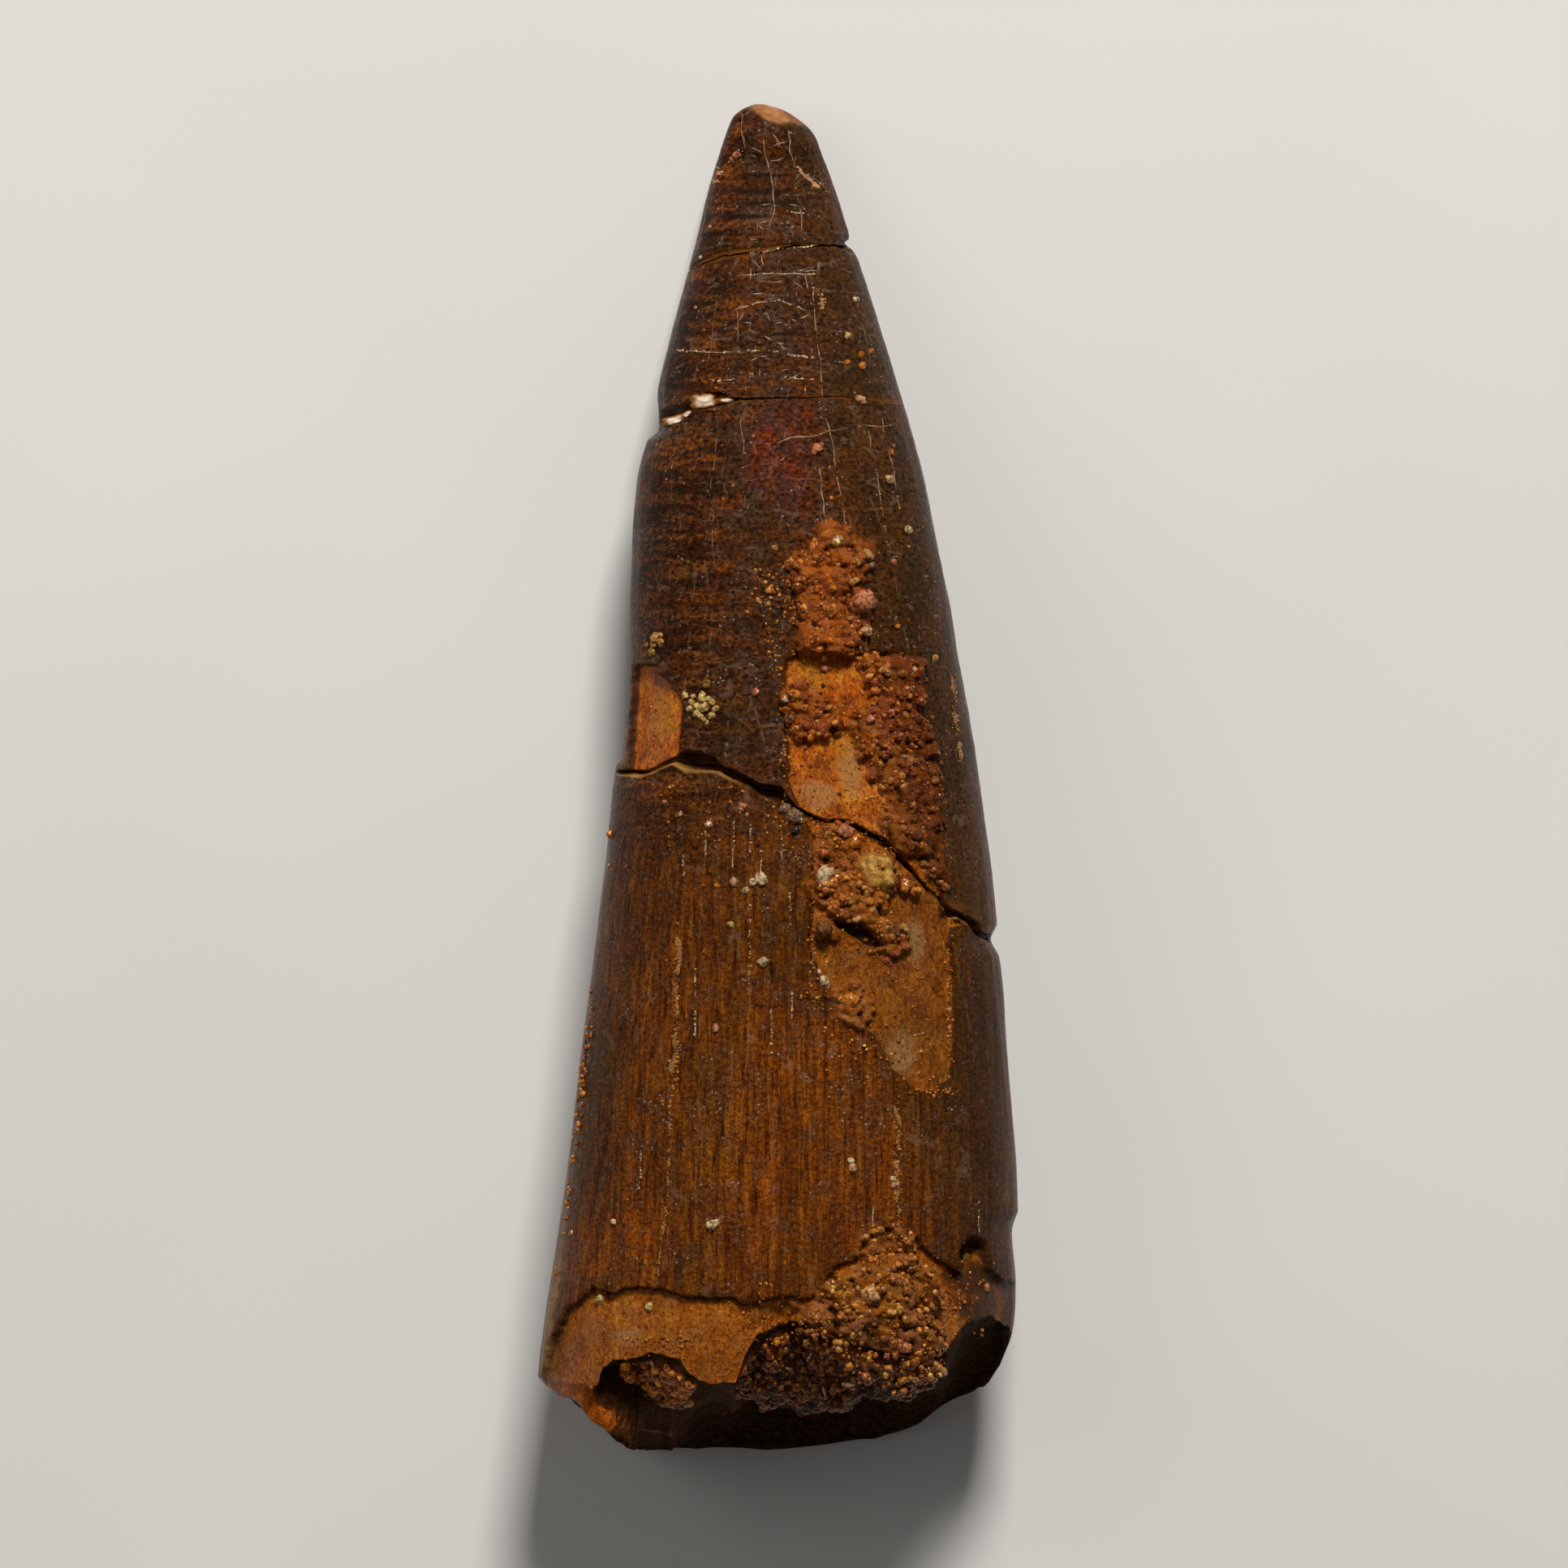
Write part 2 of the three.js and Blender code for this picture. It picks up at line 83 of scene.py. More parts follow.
# Outline of the face: distance along the tooth, then the edge's place across it
LEFT_EDGE = [
    (BASE_Y, -14.2), (-35, -14.15), (-28, -13.2), (-22.2, -12.35), (-16.4, -11.65), (-10.7, -10.9),
    (-4.9, -10.2), (0.6, -9.6), (1.2, -9.25), (6.6, -8.8), (12.4, -8.7), (17.2, -8.4), (19.9, -7.75),
    (20.5, -7.1), (22.9, -7.1), (25.3, -6.6), (31.6, -4.95), (35, -4.15), (37.8, -3.26), (39.14, -2.72),
    (39.6, -2.2), (39.83, -1.73), (TIP_Y, -1.35),
]
RIGHT_EDGE = [
    (BASE_Y, 12.6), (-35.2, 13.1), (-32.8, 13.9), (-29.9, 14.1), (-26.6, 13.85), (-25.6, 14.2),
    (-16.4, 13.6), (-10.7, 13.1), (-9.6, 12.6), (-8.6, 12.95), (0.8, 11.7), (6.6, 10.7), (11.4, 9.9),
    (17.2, 8.75), (20.5, 7.9), (24.8, 6.6), (30.6, 4.75), (31.3, 4.35), (31.7, 3.9), (31.9, 4.13),
    (32.3, 4.13), (34.2, 3.54), (37.3, 2.44), (38, 2.16), (38.6, 1.7), (39.24, 0.9), (39.62, 0.23),
    (39.87, -0.55), (TIP_Y, -0.9),
]
BACK_LINE = [  # height of the back instead
    (BASE_Y, 0.1), (-35, -0.32), (-24, -0.3), (-12, 0.35), (2, 0.75), (18, 0.5), (28, -0.05), (32, -0.2),
    (35.5, -0.15), (37.5, 0.3), (38.6, 0.7), (39.24, 1.2), (39.62, 1.7), (39.87, 2.2), (TIP_Y, 2.6),
]

# The broken end: place across the tooth, then a place along it or a distance
FACE_RIM = [
    (-14.3, -35.2), (-13.9, -35.7), (-13, -35.8), (-12.1, -35.7), (-11.3, -36.1), (-10.9, -35.9),
    (-10.7, -34.9), (-9.9, -34.4), (-9, -34.3), (-8.2, -34), (-7.2, -33.8), (-6.6, -34.1), (-5.9, -34.2),
    (-5.4, -35.1), (-4.4, -35.6), (-2.5, -35.6), (-2.1, -34.2), (-1.3, -32.8), (0, -32.1), (0.7, -31.9),
    (2.1, -32.5), (3.2, -32.9), (7.7, -34.2), (9.7, -35), (10.5, -33.2), (11.1, -32.4), (11.8, -31.9),
    (13, -31.8), (14.3, -32.6),
]
BACK_RIM = [
    (-14.3, -35.2), (-12.4, -36.8), (-10.7, -38.4), (-8.4, -39.6), (-5, -39.9), (0, -39.9), (2.6, -39.8),
    (4, -39.4), (7, -39), (8.1, -38.7), (9.2, -37.7), (10, -37.1), (11.5, -36.4), (12.4, -35.8),
    (13.3, -34.8), (14.3, -32.8),
]
SHELF_EDGE = [  # a step under the rim, at the left
    (-14.3, -35.5), (-13.4, -36.1), (-13, -36.4), (-12.2, -36.6), (-11.8, -36.9), (-11, -38),
    (-10.3, -38.5), (-9.6, -39.2), (-8.7, -39.7), (-4, -39.9),
]
SHELF_DEPTH = [  # its depth below the face
    (-13.5, 0.3), (-11.6, 0.9), (-10, 2.2), (-8.4, 3.6), (-6, 7), (-4, 11),
]
SHELF_RIM = [  # outline of the lit bare dentine round it; outside it the end is painted dark as shade
    (-14.5, -35), (-10.8, -35), (-10.75, -36.3), (-10.4, -36.8), (-9.6, -37), (-9.2, -37.6), (-8.6, -37.9),
    (-8.4, -38.3), (-8.9, -38.55), (-9.7, -38.7), (-10.4, -39.2), (-11, -39.8), (-15, -36.5),
]
SAND_REACH = [  # how far the sand stands out
    (-10.3, 0), (-9.8, 1.1), (-8.5, 1.9), (-7, 2.6), (-5.8, 2.3), (-5.2, 1), (-4.3, 0), (-2.7, 0),
    (-2, 2.2), (-0.9, 4.4), (1.5, 4.8), (3.9, 3.7), (5, 2.6), (6, 2.3), (7.7, 2), (9, 0.9), (9.8, 0),
]
SAND_STEP = [  # how far below the face the sand starts
    (-10.5, 0.7), (-6, 0.7), (-4, 0.2), (-2.2, 0.5), (-1.4, 1), (1.6, 1.1), (3, 0.7), (4.2, 0.1), (10, 0),
]
SAND_RECESS = [  # how far the cavity's sand lies back
    (-14, 1.2), (-4.5, 1), (-2, 0), (9, 0), (10.5, 0.8), (14, 0.8),
]
SPLINTERS = [  # place across, depth below the face, half-length, half-width and turn in degrees
    (4.1, 3, 1.05, 0.22, 42), (-8.4, 1.6, 0.5, 0.1, 8), (-7.9, 2.2, 0.55, 0.09, -12),
    (-7.3, 1.5, 0.5, 0.1, 4), (-6.8, 2.3, 0.6, 0.08, 20), (-6.3, 1.6, 0.45, 0.1, -6),
    (-9.2, 2, 0.4, 0.08, -25), (0.6, 3.4, 0.5, 0.09, 60), (1.9, 2.2, 0.45, 0.08, -35),
    (2.7, 4, 0.5, 0.1, 15), (6.6, 2.4, 0.4, 0.08, 70), (-0.4, 2.6, 0.4, 0.09, -60),
]
WORN_FACE = [
    (-1.9, 40.4), (-1.75, 39.8), (-1.2, 39.4), (-0.65, 38.95), (0.05, 38.8), (0.75, 38.85), (1.3, 38.75),
    (2.2, 38.4), (2.4, 39.4), (0.5, 40.4),
]

# Breaks: where the search for a fragment's edge starts, the line where two fragments meet, the chipped lips
# above and below it, how deep they are, how wide the gap is, and where bare dentine rims the lower lip
FIRST_BREAK = {
    "start": 31,
    "line": [
        (-6, 29.7), (-4.9, 30.25), (-3.5, 30.8), (-2.2, 31), (-0.6, 31.1), (0.9, 31.45), (3.6, 31.5),
        (6, 31.3),
    ],
    "upper": [
        (-5.2, 30.3), (-4.2, 30.8), (-3.5, 31.1), (-2.2, 31.3), (-0.6, 31.4), (0.9, 31.65), (2.5, 31.5),
    ],
    "lower": [(-5.2, 30.1), (-2.2, 30.93), (0.9, 31.4), (2.4, 31.45), (3.7, 31.4), (4.3, 31.1)],
    "depth": [(-5, 0.12), (-1, 0.16), (1, 0.2), (2.2, 0.08), (3.4, 0.1), (4, 0.5)],
    "gap": [(-6, 0.06), (-2, 0.1), (6, 0.1)],
    "rim": [(-5, 0), (5, 0)],
}
SECOND_BREAK = {
    "start": 22,
    "line": [
        (-9, 20.4), (-7.2, 20.8), (-5.5, 21.5), (-4.3, 22.1), (-2.6, 22.35), (1.2, 22.4), (3.9, 22.5),
        (7.5, 21.9), (10, 21.8),
    ],
    "upper": [
        (-7.6, 21.5), (-7.06, 21.72), (-5.04, 22.1), (-4.27, 22.73), (-3.5, 22.7), (-2.6, 22.38),
        (1.2, 22.4),
    ],
    "lower": [
        (-7.6, 20.2), (-6.91, 20.9), (-5.9, 21), (-5.04, 21.67), (-3.79, 21.86), (-2.59, 22.2),
        (1.2, 22.38),
    ],
    "depth": [(-7.6, 0.7), (-3, 0.6), (-2.2, 0.15), (3, 0.05)],
    "gap": [(-8, 0.14), (-2, 0.1), (2, 0.06), (4.5, 0.02), (10, 0.02)],
    "rim": [(-5, 0), (5, 0)],
}
THIRD_BREAK = {
    "start": -2,
    "line": [
        (-12, 0.3), (-9, 0.3), (-8, 0.25), (-7.4, 0.55), (-6.3, 1), (-5.2, 0.7), (-3.7, 0.65), (-2.6, 0.1),
        (-1.1, -0.75), (0.2, -0.95), (1.1, -1.9), (2.7, -2.65), (4.2, -2.7), (5.2, -3.25), (6.4, -3.8),
        (8.2, -5.6), (9.2, -6.8), (9.5, -7.05), (9.8, -7.45), (9.95, -7.9), (10.3, -8.07), (10.9, -8.35),
        (11.35, -8.7), (11.6, -9.1), (12.1, -9.4), (12.7, -9.65), (14, -9.9),
    ],
    "upper": [
        (-9, 0.41), (-8, 0.41), (-7.4, 0.74), (-6.4, 1.18), (-5.9, 1.2), (-5.6, 1.42), (-4.7, 1.42),
        (-3.8, 1.1), (-3.3, 0.6), (-2.4, 0.25), (-1, -0.45), (0.2, -0.6), (0.7, -1.3), (1.1, -1.8),
        (2.7, -2.5), (4.2, -2.52), (6.3, -3.55), (7, -4.15), (8.2, -5.4), (8.8, -6.25), (9.2, -6.65),
        (9.6, -6.92), (9.85, -7.25), (10.05, -7.65), (10.3, -7.85), (10.7, -7.98), (11, -8.2),
        (11.5, -8.42), (11.9, -8.7), (11.95, -9.1), (12.2, -9.3), (12.6, -9.3), (12.9, -9.1),
    ],
    "lower": [
        (-9.6, 0.2), (-8.2, 0.05), (-7.4, 0.35), (-6.3, 0.85), (-5.4, 0.4), (-3.65, 0.35), (-2.9, -0.1),
        (-1.8, -0.5), (-1.15, -1.05), (0.6, -1.7), (1.1, -2.15), (2.6, -2.85), (4.2, -2.9), (6.5, -4.2),
        (8.2, -5.8), (9.15, -6.84), (9.5, -7.03), (9.77, -7.4), (9.92, -7.88), (10.07, -8.1),
        (10.35, -8.22), (10.9, -8.38), (11.28, -8.62), (11.4, -8.95), (11.65, -9.25), (12.1, -9.45),
        (12.5, -9.75), (12.85, -10),
    ],
    "depth": [
        (-9.5, 0.35), (-6, 0.5), (-5.4, 1), (-2.5, 1), (0.5, 0.95), (1.6, 0.5), (7.6, 0.6), (9, 0.9),
        (13, 1),
    ],
    "gap": [(-12, 0.12), (14, 0.12)],
    "rim": [(-9.6, 1), (-6.5, 1), (-6, 0.7), (-3, 0.7), (-2, 0), (9.4, 0), (9.9, 1), (11, 1), (11.3, 0)],
}
BREAKS = (FIRST_BREAK, SECOND_BREAK, THIRD_BREAK)

# Places where the enamel is lost and the dentine shows
LONG_PATCH = [
    (1.3, 7.4), (0.6, 6.9), (0.35, 6.4), (0.4, 4.2), (0.5, 2), (0.6, -0.2), (1.25, -2), (2.05, -3.4),
    (2.1, -4.9), (1.9, -8.2), (1.8, -10), (2.55, -12.15), (3.75, -13), (4.4, -13.7), (5, -14.5),
    (6.05, -15.7), (6.7, -17.2), (7.9, -18.1), (8.6, -18.7), (9.65, -18.45), (10.35, -17.8), (10.6, -14.2),
    (10.4, -10.2), (9.85, -9.2), (9.8, -6.4), (9.5, -2), (9.15, 0.9), (8.45, 2.25), (8.05, 3.8),
    (8.25, 5.9), (7.5, 7.3), (4, 7.3),
]
LEFT_WINDOW = [
    (-8.6, 6.6), (-7.3, 6.6), (-7.2, 6), (-6.4, 5.55), (-5.8, 5), (-5.75, 4.5), (-5.9, 1.4), (-6.2, 1.1),
    (-7.4, 0.6), (-8.2, 0.1), (-8.95, 0.2), (-8.75, 3), (-8.65, 5),
]
LEFT_RIM = [
    (-14.8, -36), (-13.95, -36), (-13.4, -32.4), (-12.85, -29), (-12.6, -26), (-12.4, -22), (-13.6, -26),
    (-15, -33),
]
LIP_PATCH = [
    (9.8, -8), (10.2, -8.2), (10.8, -8.4), (11.1, -8.65), (10.8, -8.85), (10.45, -8.9), (10.35, -9.8),
    (9.8, -9.8),
]
BASE_BAND = [
    (-12.2, -31.2), (-11.5, -30.7), (-11, -30.1), (-9.8, -30.5), (-9.1, -30.1), (-7.2, -30.1),
    (-5.7, -30.6), (-4.3, -30.7), (-2.9, -30.6), (-2.1, -31.1), (0.3, -30.6), (1.9, -30.7), (2.6, -29.9),
    (3.4, -28.9), (4.7, -28.4), (5.1, -27.1), (6.6, -26.6), (7.7, -27.7), (8.2, -27.2), (9, -28.2),
    (10.3, -29), (10.9, -29.4), (11.4, -27.6), (12.3, -27.7), (12.5, -29), (13.3, -29.8), (15, -30.2),
    (15, -41), (-15, -41), (-14.4, -36.4), (-14, -35.4), (-13.5, -33.4), (-12.7, -31.6),
]

# Crusts of sand grains that cover the face: height and outline
CRUST_FIELDS = [
    (0.6, [
        (2, 13.7), (3.4, 14.1), (3.9, 13.7), (4.9, 13.4), (5.3, 12.8), (4.8, 12.3), (4.2, 11.9),
        (4.4, 10.8), (5, 10.2), (5.2, 9.2), (4.9, 7.9), (4.4, 7.3), (3.4, 7.6), (2.5, 7.4), (1.5, 7.6),
        (1.2, 8.5), (1.5, 9.5), (1.1, 10.4), (0.8, 11.6), (1.3, 12.8),
    ]),
    (0.55, [
        (4.6, 7.3), (5.8, 7.3), (7.5, 7.2), (8.3, 5.9), (8.2, 4.2), (8.6, 3), (9.3, 1.6), (9.5, -0.1),
        (9.7, -1.6), (9.6, -3.5), (9.8, -5), (10, -6.8), (9.2, -6.1), (8.5, -5), (7.6, -4), (7.1, -2.5),
        (7.1, -1.5), (6.4, -0.8), (5.5, 0.1), (5.1, 1.6), (4.9, 2.8), (5.3, 4.2), (5.2, 5.6),
    ]),
    (0.5, [
        (0.4, 4.1), (1.3, 4.3), (2.2, 4.3), (3, 4), (3.4, 3.2), (3.2, 2.5), (2.5, 2.1), (1.3, 2.2),
        (0.5, 2.8),
    ]),
    (0.4, [
        (2.2, -2.9), (3.1, -2.6), (4.2, -2.8), (4.9, -3.5), (4.9, -4.3), (6.8, -4.4), (7, -5.6), (8.2, -6),
        (8.1, -6.7), (7.2, -6.8), (6.3, -6.8), (6.6, -8.3), (7, -9), (7.3, -9.5), (6.6, -9.8), (5.8, -9.2),
        (4.9, -8.5), (3.6, -8.3), (2.6, -7.3), (2.2, -6.4), (2.1, -4.9),
    ]),
    (0.8, [
        (1.3, -32.8), (1.6, -31.4), (2.2, -30.4), (3.4, -29.5), (5.1, -28.7), (6.8, -28.3), (8, -28.2),
        (9.1, -28.9), (9.6, -30.4), (9.3, -32), (9.9, -34), (9.8, -35.4), (7.7, -36.2), (4.9, -35.6),
        (3.4, -33.7),
    ]),
    (0.15, [
        (4.4, -28), (5.1, -26.6), (5.8, -26.4), (7.3, -26.3), (7.7, -27), (8.7, -27.5), (7.3, -28.4),
        (5.8, -28.9),
    ]),
]
CHUNK = [  # a lump of dentine in a crust
    (4.7, -4.7), (5.4, -4.4), (6.5, -4.7), (6.9, -5.5), (6.8, -6.4), (6.2, -6.7), (5.5, -6.4), (4.9, -5.9),
    (4.6, -5.3),
]
HOLLOW = [  # a hollow under a crust's overhanging edge, lowered and painted dark as its shadow
    (3.4, -8.4), (4.9, -8.6), (5.8, -9.3), (6.3, -9.9), (5.7, -10.1), (4.9, -9.7), (4.3, -9.2), (3.5, -8.9),
]
PITS = [(3.8, 10.4, 0.7, 0.6), (11.6, -28, 0.7, 0.8), (0.2, -32.4, 1.2, 0.7)]  # centre, radius and depth

# Lumps of the crusts, as in the solid: centre, half-size across and along, height and number
CRUSTS = [
    (3.2, 13.9, 0.5, 0.4, 0.7, 2), (2.5, 12, 1.2, 1.1, 0.9, 6), (4.9, 12.8, 0.3, 0.6, 0.5, 2),
    (4.6, 10.3, 0.1, 0.1, 1.1, 1), (3.2, 8.7, 1.7, 1.1, 1.1, 9), (6.8, 5.6, 1.4, 1.7, 1.2, 8),
    (6.7, 2.4, 1.5, 1.8, 1.2, 7), (8, -2.1, 1.1, 3.3, 1.1, 10), (1.3, 4.6, 0.3, 0.6, 0.7, 2),
    (1.9, 3.1, 1.2, 0.7, 1, 5), (3.9, -3.9, 0.8, 0.5, 1, 3), (5.7, -5.7, 0.8, 0.8, 1.1, 3),
    (2.7, -6, 0.3, 0.5, 0.9, 2), (5, -7.4, 1.3, 0.6, 0.9, 4), (2.8, -8.9, 0.1, 0.1, 0.9, 1),
    (6.4, -9.4, 0.8, 0.6, 0.8, 3), (4.3, -13.4, 0.8, 1.1, 0.6, 4), (5.4, -30.9, 3, 1.6, 1.4, 11),
    (7.4, -33.6, 2, 1.2, 1.3, 7),
]
LUMP_RADIUS = (0.8, 1.4)
LUMP_SIZE = 0.75  # height of a lump here over its height in the solid, because grains stand on it
CRUST_WANDER = 0.38  # how far the edges of lumps and crusts stray
CHUNK_HEIGHT = 0.45
HOLLOW_DEPTH = 0.5
GRAIN_SIZE = 0.54  # the sand's grains, in the relief of the crusts
SMALL_GRAIN_SIZE = 0.34
END_GRAIN_SIZE = 0.5  # on the broken end
LIP_STEP = 0.12  # width of the step down into a chipped lip
RIM_STRENGTH = 0.8  # of the bare rim at the left edge of the base

# Stains: centre, half-size across and along
STAINS = {
    "red": [(0.1, 19, 2.1, 3), (2.1, 3.3, 1.3, 0.7), (6.5, 3.6, 1.1, 1), (3.3, 11, 1.3, 0.6)],
    "yellow": [
        (1.9, 6, 1.2, 1.1), (-7.2, 3.6, 0.9, 1.6), (3, 9.8, 0.6, 0.5), (1.1, 37.6, 0.6, 0.5),
        (4.2, 1.2, 0.8, 1.4),
    ],
    # the first four darken the rugged right corner of the base, partly painted shade, partly its dark crust;
    # the thin ones are dark cracks
    "dark": [
        (11.9, -29.6, 1.3, 1), (12.6, -31, 0.9, 1.2), (10.3, -29.3, 0.5, 0.5), (12.2, -31.4, 1.3, 1),
        (-0.9, 34.7, 1.6, 0.16), (-0.5, 34, 1.8, 0.2), (-0.9, 35.7, 1.5, 0.13), (-4, 32.2, 0.8, 0.15),
        (-2.2, 33.2, 1.6, 0.14), (6.1, -26.9, 1, 0.14), (-0.7, -13.5, 0.9, 0.1), (2, -13.05, 1.1, 0.12),
        (-2.5, 27, 1.2, 0.12), (0.5, 26.2, 1.4, 0.12), (-4.5, 18, 1.2, 0.14), (-5.5, 14.5, 1.4, 0.16),
    ],
    "dull": [
        (-13.7, -33.8, 0.8, 2.6), (4.5, -10, 3, 4), (7.5, -9.5, 3.5, 5), (8, -15, 3.5, 5), (13, -30, 2.5, 4),
        (-8.5, -6, 3, 6), (-11.5, -18, 2.5, 9), (12, -16, 2, 8),
    ],
    "golden": [
        (-1, -21, 5.5, 8), (4.5, -20, 3, 7), (-9, -28, 3, 3), (2.3, -1.5, 2, 2), (3.5, 5.5, 1.5, 1.5),
    ],
    "amber": [
        (10.4, -7.7, 0.7, 0.35), (11.5, -8.35, 0.6, 0.2), (12.3, -9.1, 0.4, 0.3), (2.6, 12.6, 1, 0.7),
        (2.8, 8.6, 1.3, 0.7),
    ],
    "pale": [
        (7.5, -16.2, 0.9, 1.1), (4.4, 0.4, 0.7, 1.3), (2.4, -1.1, 1.1, 0.9), (8.3, -9.8, 0.6, 1.4),
        (-9, -33, 1, 0.5),
    ],
}

# Threads on the face, by kind: paths of places
THREADS = {
    "pale": [
        [(-2.1, 39.4), (-2.2, 38.9), (-2.2, 38.3), (-2, 37.8), (-2, 37.2)],
        [
            (-0.8, 38), (-0.8, 37), (-0.6, 36.3), (-0.4, 35.6), (-0.3, 34.2), (-0.2, 33.7), (-0.4, 33),
            (-0.5, 32.4),
        ],
        [(0.6, 38.4), (0.7, 37.7), (0.7, 37.1), (1, 36.3), (1, 34.9), (1.3, 33.6), (1.4, 33), (1.4, 31.7)],
        [
            (1.7, 29.9), (2, 29.3), (2.1, 28.8), (2.1, 27.7), (2.3, 26.1), (2.4, 25.2), (2.5, 24.7),
            (2.6, 23.3), (2.6, 22.6), (2.7, 21.6), (3, 20.6), (3.2, 19.8), (3.3, 18.8), (3.5, 17.7),
            (3.8, 16.1), (4, 14.8),
        ],
        [(5.3, 20.7), (5.5, 19.5), (5.8, 18.2), (6, 17), (6.2, 15.5), (6.4, 14.3)],
        [(6.1, 21.3), (6.4, 19.8), (6.8, 18.4), (7, 17), (7.3, 15.5)],
        [(2.4, 18.4), (2.5, 17.3), (2.6, 16.5), (2.7, 15.5), (2.8, 14.5)],
        [(2.5, 30.7), (2.4, 30.3), (2.3, 29.9)],
        [
            (-0.1, 19.7), (0.9, 20.1), (2.1, 20.1), (2.8, 20.4), (3.9, 20.6), (5.2, 20.8), (6.1, 20.7),
            (7.2, 20.9),
        ],
        [(-2.3, 18.2), (-1.5, 18.5), (-0.3, 18.5), (0.2, 18.7), (0.7, 19.2)],
        [(-6.1, 19.5), (-6.2, 18.6), (-6.4, 17.9)],
        [(9.2, 9.4), (9.6, 9.8), (10.1, 9.7)],
    ],
    "dusky": [
        [
            (-3.7, 21.6), (-3.6, 20.9), (-3.7, 19.8), (-3.8, 18.6), (-4, 17.2), (-3.8, 16.6), (-3.9, 14.8),
            (-3.8, 12.4),
        ],
        [(-2.3, 21.6), (-2.2, 20.6), (-2, 19.5), (-2.1, 18.8), (-2, 17.2), (-2, 14.8)],
        [(-3.6, 29.4), (-3.7, 28.2), (-3.8, 27), (-4, 25.3), (-4.1, 23.9)],
        [(-2.4, 27.7), (-2.4, 26.8), (-2.3, 25.8)],
        [(0.1, 30.1), (0.1, 28.7)],
        [(4.6, 28.6), (5, 26.9), (5.4, 25), (5.9, 23)],
    ],
    # white dashes along cracks near the tip, their whiteness partly painted glints
    "white": [
        [(-0.4, 33.3), (-0.1, 33.4), (0.7, 33.5), (1.5, 33.4)],
        [(-2.2, 29.7), (-0.5, 29.8), (0.2, 29.8), (1.5, 29.8), (2.4, 29.8)],
        [(-2.6, 27.7), (-1.8, 27.9), (-1.2, 28.1), (-0.6, 28.1), (0.1, 28.2), (0.9, 27.9), (1.6, 27.6)],
        [(1.6, 28.3), (2.1, 28)],
        [
            (-6.5, 25.3), (-5.2, 25.2), (-2.4, 25.1), (-0.8, 25.3), (0.1, 25.1), (1.2, 24.9), (2.4, 24.7),
            (4.2, 24.5),
        ],
        [(-4, 23.5), (-3.4, 23.4), (-2.5, 23.5)],
        [(-1.7, 23.8), (-0.7, 23.8)],
        [(0.1, 23.6), (2.1, 23.5), (2.7, 23.4)],
        [(-1.7, 31), (-1, 31.1), (-0.2, 31.2), (0.4, 31.3), (1.1, 31.4), (1.9, 31.4), (2.4, 31.5)],
    ],
    "beads": [
        [(-4.3, -2.9), (-4.3, -4.8)], [(-2.6, -2.4), (-2.7, -5.4)], [(-1.6, -2.7), (-1.7, -4.4)],
        [(-1, -4), (-1, -5.9)], [(0.2, -2.9), (0.2, -4.9)], [(0.7, -6.7), (0.7, -9.5)],
        [(-4.9, -10.7), (-4.9, -15.3)], [(-1.7, -7.1), (-1.7, -12.7)], [(-5.6, -3.4), (-5.6, -5.8)],
        [(0.8, -12.3), (0.8, -15.3)], [(-8.1, -21.8), (-8.2, -24.6)], [(-0.4, -13.6), (-0.4, -16.4)],
        [(5.6, -25.1), (5.6, -28)], [(11.8, -25.1), (11.9, -27)],
    ],
    "filled": [
        [
            (-5.9, -9.3), (-5.8, -10.5), (-5.9, -11.4), (-6, -12.7), (-6, -14), (-6.1, -15.3),
            (-6.1, -16.4), (-6.3, -17.3), (-6.2, -18.5),
        ],
        [(10.3, 6.1), (10.4, 4.7), (10.5, 3.1), (10.8, 1)],
        [(6.8, -19.3), (7.2, -20.7), (6.9, -22.3), (7, -24.1), (7.1, -25.8), (7.3, -27.5)],
    ],
    "seam": [
        [(-6.3, -18.5), (-6.4, -20.2), (-6.5, -24)],
        [(-6.5, -24), (-6.8, -26.6), (-7.1, -29.5)],
        [(6.2, -1), (6.3, -2.9), (6.2, -3.4)],
    ],
    "scar": [
        [(-3, 36.5), (-2.7, 36.6), (-2.5, 36.9), (-2.3, 37.1), (-2.1, 37.2)],
        [(-3.6, 36.3), (-3.4, 35.9), (-3.1, 35.7)],
        [(-3.8, 35.4), (-3.6, 35.3), (-3.4, 35.4)],
        [(1.9, 35.1), (2.1, 35), (2.4, 34.9)],
        [(1.2, 36.2), (1.4, 35.8), (1.8, 35.5), (2.1, 35.2), (2.4, 34.9)],
        [(2.9, 34.8), (3, 34.6)],
        [(2, 28.9), (2.4, 28.6), (2.6, 28.1), (2.6, 27.7)],
    ],
    "amber": [
        [
            (-7.2, 21.1), (-6.6, 21.1), (-6, 21.2), (-5.4, 21.6), (-4.9, 21.95), (-4.4, 22.35),
            (-3.6, 22.4), (-2.7, 22.35),
        ],
    ],
}

